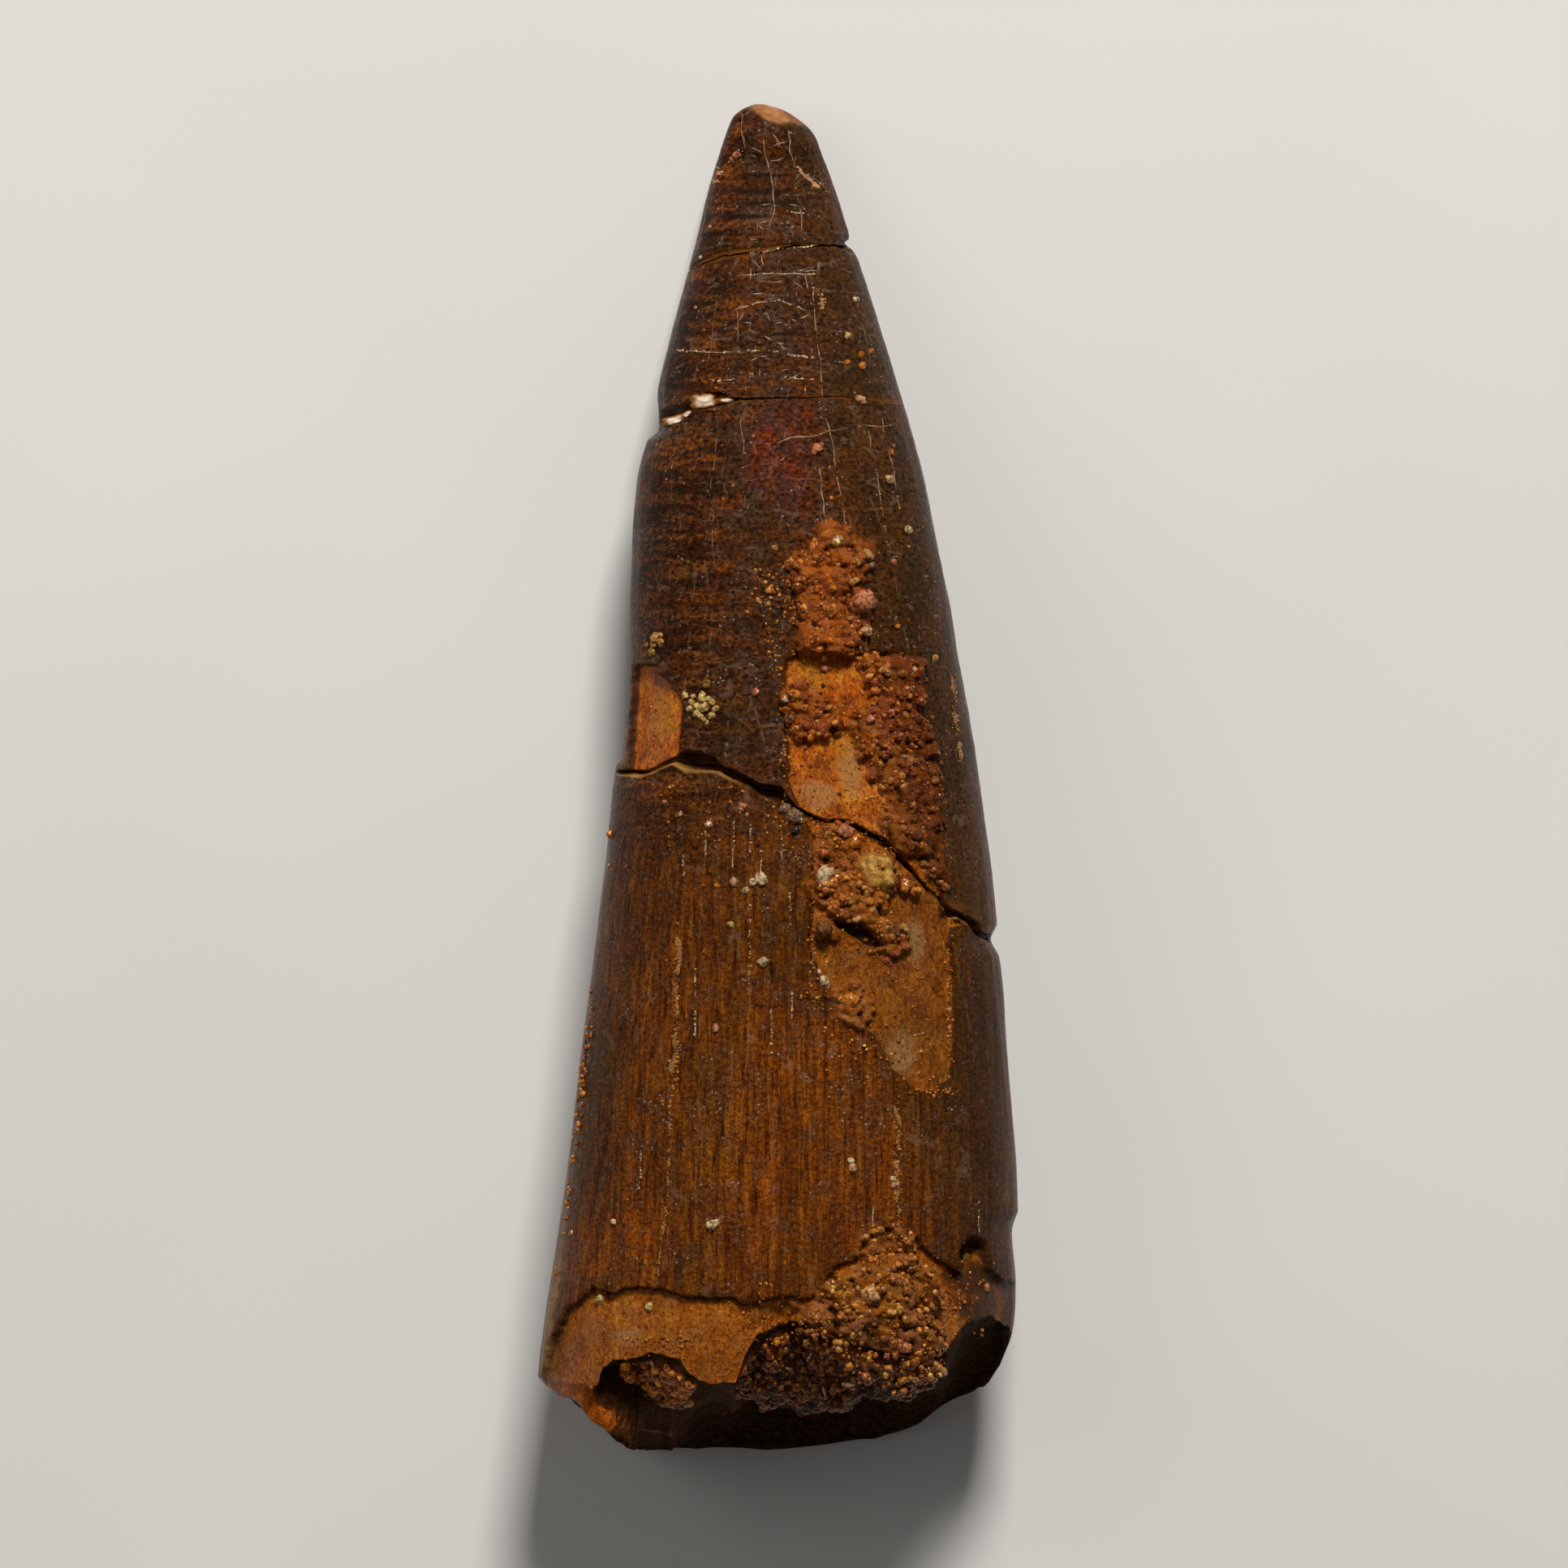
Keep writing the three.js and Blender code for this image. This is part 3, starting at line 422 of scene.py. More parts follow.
# Single granules on the face, by kind: centre and radius
GRANULES = {
    "tan": [
        (-7.25, 8.2, 0.34), (-6.95, 7.95, 0.3), (-7.4, 7.85, 0.26), (-7, 8.35, 0.22), (3.3, 13.9, 0.38),
        (-0.2, 13.5, 0.19), (5, 13.1, 0.38), (4.4, 12.7, 0.29), (4.4, 11.6, 0.24), (9.2, 7, 0.22),
        (9.1, -34.6, 0.29), (7.3, -8.9, 0.29), (-1.2, 10.4, 0.19), (-0.6, 10.2, 0.19), (0.1, 10.7, 0.14),
    ],
    "moss": [(-7.5, 7.4, 0.29), (-7.8, 7.8, 0.19), (-4.2, 5.5, 0.24), (11.9, -28.3, 0.43)],
    "straw": [
        (-5.5, 4.8, 0.24), (-5.1, 4.4, 0.24), (-4.5, 4.7, 0.31), (-3.9, 4.4, 0.26), (-4.8, 3.7, 0.26),
        (-4.4, 3.4, 0.19), (-4.8, 4.2, 0.22), (-4.1, 4.6, 0.2), (-4.6, 3.6, 0.2), (-5, 4.75, 0.18),
        (-4.2, 3.2, 0.16), (-3.7, 4, 0.2), (-5.2, 4, 0.22), (-4.4, 4.1, 0.31), (-3.9, 3.6, 0.22),
        (4.1, 26.1, 0.19), (-2.8, -8.7, 0.24), (-7.8, -31.2, 0.24), (-10.8, -30.8, 0.29),
    ],
    "orange": [
        (3, 9.8, 0.43), (-3.6, -6.4, 0.19), (-9.9, -3.4, 0.24), (-10, -5.2, 0.12), (-11.25, -15.3, 0.18),
        (-11.3, -16, 0.16), (-11.45, -17, 0.2), (-11.5, -18.1, 0.26), (-11.55, -18.5, 0.2),
        (-11.65, -18.8, 0.2), (-11.9, -20.9, 0.18), (-12.15, -22.7, 0.16), (-12.55, -25.2, 0.18),
        (4.9, 25, 0.22), (5, 24.3, 0.24), (4.1, 24.5, 0.22), (6.7, 19.2, 0.22), (5.5, 25.2, 0.19),
        (1, 12.5, 0.24), (1.2, 11.3, 0.34), (0.6, 11.4, 0.24), (-0.5, 11, 0.22), (7, 8.9, 0.19),
        (0.9, 4.8, 0.43), (4.3, -13.1, 0.43), (4.2, -34.7, 0.24), (4.5, -3.8, 0.38), (7.5, -6.4, 0.48),
        (8.1, -6.7, 0.34),
    ],
    "pink": [
        (-2.45, 36.88, 0.28), (-2.75, 36.65, 0.2), (-3.42, 35.78, 0.22), (-1.3, 5, 0.24),
        (-2.1, -1.7, 0.24), (-2.2, -1.9, 0.19), (-6.7, -1.5, 0.14), (2.3, 19.4, 0.34), (2.1, 19.2, 0.19),
        (2.5, 19.6, 0.19), (4.7, 10.3, 0.72), (6.8, 12.7, 0.17), (2.8, 6.4, 0.29), (6.4, 3.8, 0.38),
        (5.3, 3.4, 0.29), (12.6, -30.1, 0.24), (7.2, -33.6, 0.34), (3.9, -3.2, 0.53), (-1.8, 9.7, 0.14),
    ],
    "rose": [
        (-4.1, -2.8, 0.29), (-5.8, -2.2, 0.17), (-2.6, -6.2, 0.29), (-3.7, -14.8, 0.24), (4.9, 22.3, 0.29),
        (6.6, 17.6, 0.29), (-4.9, 27.8, 0.12), (-4, 32.6, 0.12), (5, 8.6, 0.34), (7.8, 6.3, 0.24),
        (0.4, 4.6, 0.29), (4.4, -23, 0.29), (6.9, -24.1, 0.24), (-12.2, -26.9, 0.19), (2.4, -11.5, 0.24),
    ],
    "white": [
        (-1, -6, 0.38), (-1.5, -6.2, 0.24), (-1.9, -6.7, 0.24), (-0.9, -10.9, 0.29), (4.6, 28.3, 0.24),
        (7.7, 14.6, 0.29), (-4.6, 30.8, 0.12), (-1.2, 31.3, 0.1), (4.3, -22.6, 0.19), (6.8, -23.7, 0.19),
        (-3.9, -26.4, 0.38), (-3.6, -26.2, 0.24), (-9.7, -26.2, 0.19), (2.7, -12.1, 0.38),
        (2.8, -5.8, 0.58),
    ],
    "grey": [(0.9, -2.3, 0.43), (0.4, -1.9, 0.34), (1.3, -2.6, 0.24), (5.3, 12.5, 0.19)],
    "black": [(1, -3.2, 0.24), (2.5, 4.9, 0.12), (2.7, 5.4, 0.12)],
    "brown": [(2.8, 13.7, 0.24), (0.7, 3.4, 0.43), (6.7, -9.1, 0.43), (2.7, -9, 0.58)],
    "red": [(4.8, 9, 0.19), (6.5, -10.8, 0.29), (6.9, -10.4, 0.29), (7.4, -10, 0.29), (6.7, -11, 0.19)],
    "quartz": [(5.3, -30.5, 0.58)],
}
TINTS = {
    "tan": (0.36, 0.18, 0.05), "moss": (0.2, 0.12, 0.02), "straw": (0.42, 0.28, 0.1),
    "orange": (0.4, 0.13, 0.015), "pink": (0.38, 0.13, 0.07), "rose": (0.42, 0.23, 0.14),
    "white": (0.48, 0.36, 0.25), "grey": (0.17, 0.1, 0.06), "black": (0.012, 0.012, 0.016),
    "brown": (0.13, 0.045, 0.01), "red": (0.24, 0.05, 0.02), "quartz": (0.45, 0.24, 0.12),
    "pale": (0.3, 0.17, 0.085), "dusky": (0.17, 0.1, 0.06), "beads": (0.4, 0.27, 0.17),
    "filled": (0.3, 0.14, 0.03), "seam": (0.3, 0.13, 0.03), "scar": (0.42, 0.22, 0.12),
    "amber": (0.3, 0.1, 0.008), "scratch": (0.34, 0.24, 0.17),
}
THREAD_WIDTH = {
    "pale": 0.055, "dusky": 0.045, "white": 0.05, "beads": 0.06, "filled": 0.22, "seam": 0.12, "scar": 0.2,
    "amber": 0.3, "scratch": 0.045,
}
THREAD_WHOLE = {  # how unbroken a thread is, above 3 all the way
    "pale": 0.7, "dusky": 0.6, "white": 0.3, "beads": 0.3, "filled": 0.8, "seam": 0.6, "scar": 0.7,
    "amber": 9, "scratch": 0.8,
}
THREAD_STEP = 0.08  # distance between the points of a thread
THREAD_CRUMBS = {  # to the millimetre
    "pale": 1, "white": 5, "beads": 5, "filled": 16, "seam": 11, "scar": 16,
}
SCRATCHES = 75

# Loose crumbs: the middle of an edge that they lie along, spread, both across and along, and number
CRUMB_EDGES = [
    (10.32, -14, 0.1, 2.2, 120), (9.2, -18.5, 0.8, 0.12, 30), (6.3, -2.2, 0.06, 0.8, 22),
    (2.1, -9.5, 0.15, 1.8, 50), (0.45, 2, 0.12, 3, 60), (3.6, -12.9, 1, 0.4, 40),
    (7.05, -23, 0.12, 2.6, 60), (-6, -14, 0.08, 2.8, 60), (0.6, -31.6, 1.6, 0.9, 90),
    (10.8, -30.5, 0.9, 1.4, 90), (-6.9, -33.3, 1.6, 0.4, 50),
]
CRUMB_FIELDS = [  # the lowest and the highest place, both across and along, and number
    (-7, -4, 1.5, -0.5, 60), (0.6, -5.5, 7, 7, 260), (2.5, -19, 9.5, -8, 200), (-9, -25.2, 10, 27, 150),
]
CRUMB_PATCH = [(-1.2, 12.4), (1, 12.6), (1.2, 9), (0.6, 6), (0.2, 5), (-0.6, 8)]
RIM_CRUMBS = 150
END_GRAINS = 3300

# Lumps of the filler: centre and half-size, across and along, and turn in degrees
FILLER_BLOBS = [
    (-4.35, 22.22, 0.78, 0.42, 7), (-3.05, 22.25, 0.5, 0.16, 4), (-6.25, 21.08, 0.7, 0.26, 14),
    (-5.36, 21.43, 0.32, 0.2, 30),
]
FILLER_DEPTH = 0.42  # of their middles below the whole skin

# Colours
SAND_TINTS = np.array([
    (0.4, 0.125, 0.01), (0.32, 0.09, 0.008), (0.46, 0.18, 0.025), (0.22, 0.055, 0.005), (0.38, 0.115, 0.03),
    (0.5, 0.25, 0.07), (0.36, 0.12, 0.01), (0.28, 0.08, 0.008),
])
BASE_TINTS = np.array([
    (0.52, 0.26, 0.065), (0.52, 0.2, 0.04), (0.34, 0.11, 0.035), (0.15, 0.045, 0.007), (0.38, 0.15, 0.02),
    (0.24, 0.075, 0.008), (0.42, 0.14, 0.015),
])
SPLINTER_TINT = (0.42, 0.21, 0.05)
FILLER_WHITE = (0.68, 0.57, 0.42)
FILLER_AMBER = (0.3, 0.1, 0.01)


# Numbers

def mix(a, b, share):
    return a + (b - a) * share


def smooth(value):
    t = np.clip(value, 0, 1)
    return t * t * (3 - 2 * t)


def soft(depth, width):
    """From 0 outside an edge to 1 inside it, over a width."""
    return smooth(0.5 + depth / width)


def random_from(seed):
    """A repeatable random number generator, the same as the solid's source has."""
    state = seed
    while True:
        state = (state * 1664525 + 1013904223) % 4294967296
        yield state / 4294967296


def line_at(points, place):
    xs, ys = np.array(points, float).T
    return np.interp(place, xs, ys)


def curve_at(points, place):
    """A smooth curve through points of rising first coordinate."""
    xs, ys = np.array(points, float).T
    place = np.asarray(place, float)
    end = np.clip(np.searchsorted(xs, place), 1, len(xs) - 1)
    before = np.maximum(np.arange(len(xs)) - 1, 0)
    after = np.minimum(np.arange(len(xs)) + 1, len(xs) - 1)
    slopes = (ys[after] - ys[before]) / (xs[after] - xs[before])
    width = xs[end] - xs[end - 1]
    t = np.clip((place - xs[end - 1]) / width, 0, 1)
    rise = t * (1 - t) ** 2 * slopes[end - 1]
    fall = t * t * (1 - t) * slopes[end]
    return mix(ys[end - 1], ys[end], smooth(t)) + (rise - fall) * width


ALONG = np.linspace(BASE_Y, TIP_Y, 1600)


def evened(points):
    """A curve along the tooth with its steps smoothed away."""
    half = int(EVENING / (ALONG[1] - ALONG[0]))
    weights = np.hanning(2 * half + 1)
    plain = curve_at(points, ALONG)
    padded = np.pad(plain, half, mode="reflect", reflect_type="odd")
    even = np.convolve(padded, weights / weights.sum(), "valid")
    return mix(even, plain, smooth((ALONG - TIP_ROUND) / 2))


EVEN_LEFT = evened(LEFT_EDGE)
EVEN_RIGHT = evened(RIGHT_EDGE)


def lattice(i, j, k, seed):
    """A random number from -1 to 1 for each whole-numbered place."""
    mixed = (i * 374761393 + j * 668265263 + k * 1440662683 + seed * 1274126177) & 0xFFFFFFFF
    mixed = ((mixed ^ (mixed >> 13)) * 1274126177) & 0xFFFFFFFF
    return ((mixed ^ (mixed >> 16)) & 0xFFFFFF) / 0x7FFFFF - 1


def noise(x, y, z=0.0, seed=0):
    """Smooth noise from -1 to 1, with bumps about one unit wide."""
    x, y, z = np.broadcast_arrays(np.asarray(x, float), np.asarray(y, float), np.asarray(z, float))
    i, j, k = (np.floor(v).astype(np.int64) for v in (x, y, z))
    u, v, w = smooth(x - i), smooth(y - j), smooth(z - k)
    total = 0
    for a in (0, 1):
        for b in (0, 1):
            for c in (0, 1):
                share = (u if a else 1 - u) * (v if b else 1 - v) * (w if c else 1 - w)
                total = total + share * lattice(i + a, j + b, k + c, seed)
    return total


def rough(x, y, z=0.0, seed=0, octaves=3):
    """Noise with finer noise on it, from about -1 to 1."""
    total, size, scale = 0, 1, 1
    for octave in range(octaves):
        total = total + size * noise(x * scale, y * scale, np.asarray(z) * scale, seed + octave)
        size *= 0.5
        scale *= 2.03
    return total / 1.5


def granules(x, y, size, seed):
    """Round bumps from 0 to 1 that fill the plane, and a random number for each bump."""
    u, v = x / size, y / size
    i, j = np.floor(u).astype(np.int64), np.floor(v).astype(np.int64)
    nearest = np.full(np.shape(u), 9.0)
    which = np.zeros(np.shape(u))
    for a in (-1, 0, 1):
        for b in (-1, 0, 1):
            at_u = i + a + 0.5 + 0.4 * lattice(i + a, j + b, 1, seed)
            at_v = j + b + 0.5 + 0.4 * lattice(i + a, j + b, 2, seed)
            distance = (u - at_u) ** 2 + (v - at_v) ** 2
            which = np.where(distance < nearest, lattice(i + a, j + b, 3, seed) / 2 + 0.5, which)
            nearest = np.minimum(nearest, distance)
    return np.sqrt(np.clip(1 - nearest / 0.55, 0, 1)), which


def depth_inside(outline, x, y):
    """Distance from points to a closed outline, positive inside it."""
    nearest = np.full(np.shape(x), np.inf)
    inside = np.zeros(np.shape(x), bool)
    for (x0, y0), (x1, y1) in zip(outline, outline[1:] + outline[:1]):
        along = (x - x0) * (x1 - x0) + (y - y0) * (y1 - y0)
        share = np.clip(along / ((x1 - x0) ** 2 + (y1 - y0) ** 2), 0, 1)
        nearest = np.minimum(nearest, np.hypot(x - mix(x0, x1, share), y - mix(y0, y1, share)))
        if y0 != y1:
            crosses = (y0 > y) != (y1 > y)
            inside ^= crosses & (x < x0 + (y - y0) / (y1 - y0) * (x1 - x0))
    return np.where(inside, nearest, -nearest)


# The crown's skin

def make_lumps():
    random = random_from(7)
    lumps = []
    for middle_x, middle_y, half_x, half_y, highest, count in CRUSTS:
        for _ in range(count):
            angle = next(random) * 2 * math.pi
            reach = math.sqrt(next(random))
            x = middle_x + half_x * reach * math.cos(angle)
            y = middle_y + half_y * reach * math.sin(angle)
            radius = mix(*LUMP_RADIUS, next(random))
            height = highest * mix(0.6, 1, next(random))
            lumps.append((x, y, radius, height))
    return lumps


LUMPS = make_lumps()


def crust_height(x, y):
    """Height of the crusts without their grains."""
    wander_x = x + CRUST_WANDER * rough(x * 1.9, y * 1.9, seed=31)
    wander_y = y + CRUST_WANDER * rough(x * 1.9, y * 1.9, seed=34)
    highest = np.zeros(np.shape(x))
    for lump_x, lump_y, radius, height in LUMPS:
        reach = np.hypot(wander_x - lump_x, wander_y - lump_y) / radius
        highest = np.maximum(highest, height * LUMP_SIZE * (1 - reach * reach))
    uneven = 0.85 + 0.75 * rough(x * 1.1, y * 1.1, seed=37)
    for height, outline in CRUST_FIELDS:
        depth = depth_inside(outline, wander_x, wander_y)
        highest = np.maximum(highest, height * uneven * smooth((depth + 0.12) / 0.5))
    return highest


def lost_mask(outline, x, y, seed):
    """1 where the enamel is lost, with a ragged edge."""
    ragged = 0.12 * rough(x * 2.3, y * 1.6, seed=seed) + 0.05 * noise(x * 6, y * 6, seed=seed + 5)
    return soft(depth_inside(outline, x, y) + ragged, ENAMEL_LEDGE)


def lips(break_, x, y):
    """Depth of a break's chipped lips at a place, and masks for them and for the lower one's rim."""
    line = line_at(break_["line"], x)
    jagged = 0.03 * noise(x * 6, y * 3, seed=51)
    lower = line_at(break_["lower"], x) - jagged
    over = soft(line_at(break_["upper"], x) - y + jagged, LIP_STEP) * (y >= line)
    under = soft(y - lower, LIP_STEP) * (y < line)
    near = smooth(2 - np.abs(y - line))
    rim = smooth(1.2 - np.abs(y - lower + 0.04) / LIP_STEP) * line_at(break_["rim"], x)
    chipped = np.maximum(over, under) * near
    return line_at(break_["depth"], x) * chipped, chipped, rim * near


def face_relief(x, y):
    """Height of the face above whole enamel, and the masks that the colours need."""
    lost = np.zeros(np.shape(x))
    for outline, seed in ((LONG_PATCH, 41), (LEFT_WINDOW, 43), (BASE_BAND, 44), (LIP_PATCH, 46)):
        lost = np.maximum(lost, lost_mask(outline, x, y, seed))
    dentine = 0.06 * rough(x * 0.9, y * 0.6, seed=61) + 0.025 * rough(x * 3.5, y * 1.5, seed=62)
    relief = (dentine - ENAMEL) * lost

    chunk = smooth(0.3 + depth_inside(CHUNK, x, y) / 0.4)
    hollow = soft(depth_inside(HOLLOW, x, y) + 0.08 * noise(x * 4, y * 4, seed=66), 0.25)
    crust = crust_height(x, y) * (1 - hollow)
    crusted = smooth(crust / 0.2) * (1 - chunk)
    dome, which = granules(x + 0.15 * noise(x * 3, y * 3, seed=68), y, GRAIN_SIZE, 69)
    small_dome, small_which = granules(x, y, SMALL_GRAIN_SIZE, 70)
    grainy = 0.4 * dome + 0.14 * small_dome - 0.22
    relief = relief + crust + grainy * crusted - HOLLOW_DEPTH * hollow
    relief = relief + chunk * (CHUNK_HEIGHT + 0.4 * rough(x * 1.3, y * 1.3, seed=75))
    for pit_x, pit_y, radius, depth in PITS:
        reach = np.hypot(x - pit_x, y - pit_y) / radius
        relief = relief - depth * smooth(1.5 - reach + 0.2 * noise(x * 2, y * 2, seed=73))

    deep, lip = 0, 0
    rim = RIM_STRENGTH * lost_mask(LEFT_RIM, x, y, 45)
    for break_ in BREAKS:
        drop, chipped, bare = lips(break_, x, y)
        relief = relief - drop * (1 - 0.3 * lost)
        # deeper chipped lips get more painted shade
        deep = np.maximum(deep, smooth(drop / 0.4 - 0.5))
        lip = np.maximum(lip, chipped)
        rim = np.maximum(rim, bare)
    return relief, {
        "lost": lost, "crust": crusted, "deep": deep, "lip": lip, "rim": rim, "chunk": chunk,
        "hollow": hollow, "dome": 0.65 * dome + 0.35 * small_dome,
        "granule": 0.6 * which + 0.4 * small_which,
    }


def section_at(y):
    left = np.interp(y, ALONG, EVEN_LEFT)
    right = np.interp(y, ALONG, EVEN_RIGHT)
    half_width = (right - left) / 2
    share = (y - BASE_Y) / (TIP_Y - BASE_Y)
    half_thickness = half_width * mix(THICKNESS_AT_BASE, THICKNESS_AT_TIP, share)
    return (left + right) / 2, curve_at(BACK_LINE, y) + half_thickness, half_width, half_thickness


def raised(value, power):
    return np.sign(value) * np.abs(value) ** power


def plain_outside(angle, y):
    """A point of the plain crown, and the direction out of it in its section."""
    middle_x, middle_z, half_width, half_thickness = section_at(y)
    cos, sin = np.cos(angle), np.sin(angle)
    power = np.where(sin >= 0, 2 / FACE_SQUARENESS, 2 / BACK_SQUARENESS)
    left_step = curve_at(LEFT_EDGE, y) - np.interp(y, ALONG, EVEN_LEFT)
    right_step = curve_at(RIGHT_EDGE, y) - np.interp(y, ALONG, EVEN_RIGHT)
    step = left_step * smooth(-4 * cos - 3) + right_step * smooth(4 * cos - 3)
    x = middle_x + half_width * raised(cos, power) + step
    z = middle_z + half_thickness * raised(sin, power)
    out_x, out_z = cos / half_width, sin / half_thickness
    length = np.hypot(out_x, out_z)
    return x, z, out_x / length, out_z / length


def angle_at(x, y):
    """The angle at which the face passes over a place."""
    middle_x, _, half_width, _ = section_at(y)
    across = np.clip((x - middle_x) / half_width, -1, 1)
    return np.arccos(raised(across, FACE_SQUARENESS / 2))


def stain(spots, x, y):
    """How strongly a place is stained by soft-edged spots."""
    strongest = np.zeros(np.shape(x))
    ragged = 0.35 * rough(x * 1.5, y * 1.5, seed=141)
    for at_x, at_y, half_x, half_y in spots:
        reach = np.hypot((x - at_x) / half_x, (y - at_y) / half_y) + ragged
        strongest = np.maximum(strongest, smooth(1.6 - 1.2 * reach))
    return strongest


def outside_at(angle, y):
    """Points of the finished skin, and their masks."""
    x, z, out_x, out_z = plain_outside(angle, y)
    on_face = smooth(np.sin(angle) * 3)
    relief, masks = face_relief(x, y)
    masks = {name: mask * on_face for name, mask in masks.items()}
    low = smooth((LOW_START - y) / LOW_SPAN)
    around = angle * 12
    swell = 0.06 * noise(around * 0.25, y * 0.12, seed=80) + 0.03 * noise(around * 0.6, y * 0.4, seed=79)
    striae = rough(around * 1.1, y * 0.09, seed=81, octaves=2) * mix(0.01, 0.03, low)
    growth = rough(around * 0.2, y * 1.6, seed=82, octaves=2) * mix(0.018, 0.006, low)
    fine = 0.008 * rough(x * 5, y * 5, z * 5, seed=83)
    whole = 1 - np.maximum(masks["lost"], masks["crust"])
    push = (swell + on_face * relief + (striae + growth) * whole + fine) * smooth((TIP_Y - y) * 2)
    points = np.stack([x + push * out_x, y, np.maximum(0, z + push * out_z)], -1)
    middle_x, _, half_width, _ = section_at(y)
    masks["low"] = low
    masks["across"] = (x - middle_x) / half_width
    worn = depth_inside(WORN_FACE, x, y) + 0.08 * rough(x * 2.5, y * 2.5, seed=142)
    masks["worn"] = soft(worn, 0.3) * smooth(np.sin(angle) * 3 + 1.5)
    for name, spots in STAINS.items():
        masks[name] = stain(spots, x, y) * on_face
    return points, masks


# Ends of the fragments, as surfaces that give the distance along the tooth at a place (x, z)

def break_surface(break_, side):
    """The broken face of the fragment above a break, side 1, or below it, side -1."""
    _, middle_z, _, _ = section_at(break_["start"])

    def surface(x, z):
        lean = BREAK_LEAN * np.maximum(0, middle_z - z)
        wavy = 0.1 * noise(x * 0.9, z * 0.5, seed=92) * (z < middle_z)
        ragged = 0.04 * noise(x * 3.1, z * 1.1, seed=91) + wavy
        return line_at(break_["line"], x) + lean + ragged + side * line_at(break_["gap"], x) / 2

    return surface


def end_heights(x):
    """Heights of the crown's face and back over the broken end."""
    middle_x, middle_z, half_width, half_thickness = section_at(END_Y)
    across = np.clip(np.abs(x - middle_x) / half_width, 0, 0.999)
    top = middle_z + half_thickness * (1 - across ** FACE_SQUARENESS) ** (1 / FACE_SQUARENESS)
    bottom = middle_z - half_thickness * (1 - across ** BACK_SQUARENESS) ** (1 / BACK_SQUARENESS)
    return top, bottom


def end_granules(x, z):
    return granules(x, z, END_GRAIN_SIZE, 104)


def end_parts(x, z):
    """How far along the tooth the broken end is at a place, and how much of it is sand."""
    top, bottom = end_heights(x)
    face_rim = line_at(FACE_RIM, x)
    high = np.maximum(top - bottom - BACK_RIM_HEIGHT, 2)
    share = np.clip((z - bottom - BACK_RIM_HEIGHT) / high, 0, 1)
    bare = mix(line_at(BACK_RIM, x), face_rim, np.sqrt(share))
    shelf = smooth((SHELF_END - x) / 3) * smooth((top - z - line_at(SHELF_DEPTH, x)) / 0.6)
    bare = mix(bare, np.minimum(bare, line_at(SHELF_EDGE, x)), shelf)
    fall = top - z - line_at(SAND_STEP, x)
    reach = line_at(SAND_REACH, x)
    slope = np.clip(fall / SAND_SLOPE, 0, 1) * smooth((z - SAND_FLOOR) / 5)
    lumpy = 0.45 * rough(x * 0.8, z * 0.8, seed=107) * smooth(fall / 0.8) * smooth(reach)
    sand = face_rim - reach * slope + lumpy
    sandy = smooth((bare - sand) / 0.5) * smooth(fall / 0.5)
    dome, _ = end_granules(x, z)
    ragged = 0.2 * rough(x * 0.7, z * 0.7, seed=101) + 0.1 * noise(x * 2.7, z * 2.7, seed=102)
    return np.minimum(bare, sand) + ragged - 0.3 * dome * sandy, sandy


def broken_end(x, z):
    return end_parts(x, z)[0]


def sand_face(x, z):
    """The outer face of the sand in the cavity."""
    lumpy = 0.3 * rough(x * 0.8, z * 0.8, seed=121)
    return broken_end(x, z) + line_at(SAND_RECESS, x) + lumpy


def very_tip(x, z):
    return np.full(np.shape(x), TIP_Y - 0.01)


# Meshes

def new_object(name, points, faces, masks=None, colours=None):
    """A mesh object from points in millimetres, with masks or a colour for each point."""
    mesh = bpy.data.meshes.new(name)
    mesh.from_pydata((np.asarray(points) * MM).tolist(), [], faces)
    for mask_name, values in (masks or {}).items():
        attribute = mesh.attributes.new(mask_name, "FLOAT", "POINT")
        attribute.data.foreach_set("value", np.asarray(values, np.float32).ravel())
    if colours is not None:
        attribute = mesh.attributes.new("tint", "FLOAT_COLOR", "POINT")
        rgba = np.concatenate([colours, np.ones((len(colours), 1))], 1)
        attribute.data.foreach_set("color", rgba.astype(np.float32).ravel())
    mesh.polygons.foreach_set("use_smooth", [True] * len(mesh.polygons))
    mesh.update()
    piece = bpy.data.objects.new(name, mesh)
    bpy.context.scene.collection.objects.link(piece)
    return piece


def skin_over(name, rings, ring_masks):
    """A closed skin over rings of points that run towards +Y."""
    columns = len(rings[0])
    points = np.concatenate(rings + [rings[0].mean(0)[None], rings[-1].mean(0)[None]])
    masks = {}
    for key in ring_masks[0]:
        rows = [mask[key] for mask in ring_masks]
        masks[key] = np.concatenate([*rows, rows[0][:1], rows[-1][:1]])
    first, last = len(points) - 2, len(points) - 1
    this = np.arange(columns)
    after = (this + 1) % columns
    rows = np.arange(len(rings) - 1)[:, None] * columns
    corners = [rows + this, rows + columns + this, rows + columns + after, rows + after]
    quads = np.stack(corners, -1).reshape(-1, 4)
    top = (len(rings) - 1) * columns
    caps = [[first, i, j] for i, j in zip(this.tolist(), after.tolist())]
    caps += [[top + i, last, top + j] for i, j in zip(this.tolist(), after.tolist())]
    piece = new_object(name, points, quads.tolist() + caps, masks)
    bare = np.maximum(masks["lost"], masks["crust"])
    glossy = np.concatenate([bare[quads].mean(1) > 0.5, bare[np.array(caps)].mean(1) > 0.5])
    piece.data.polygons.foreach_set("material_index", glossy.astype(np.int32))
    return piece


def angles_for(face_columns, back_columns):
    face = np.linspace(0, np.pi, face_columns, endpoint=False)
    back = np.linspace(np.pi, 2 * np.pi, back_columns, endpoint=False)
    return np.concatenate([face, back])


def edge_along(surface, start, angles):
    """How far along the tooth the plain skin meets an end surface, all the way round."""
    y = np.full(len(angles), float(start))
    for _ in range(EDGE_ROUNDS):
        x, z, _, _ = plain_outside(angles, y)
        y = mix(y, surface(x, z), 0.6)
    return y


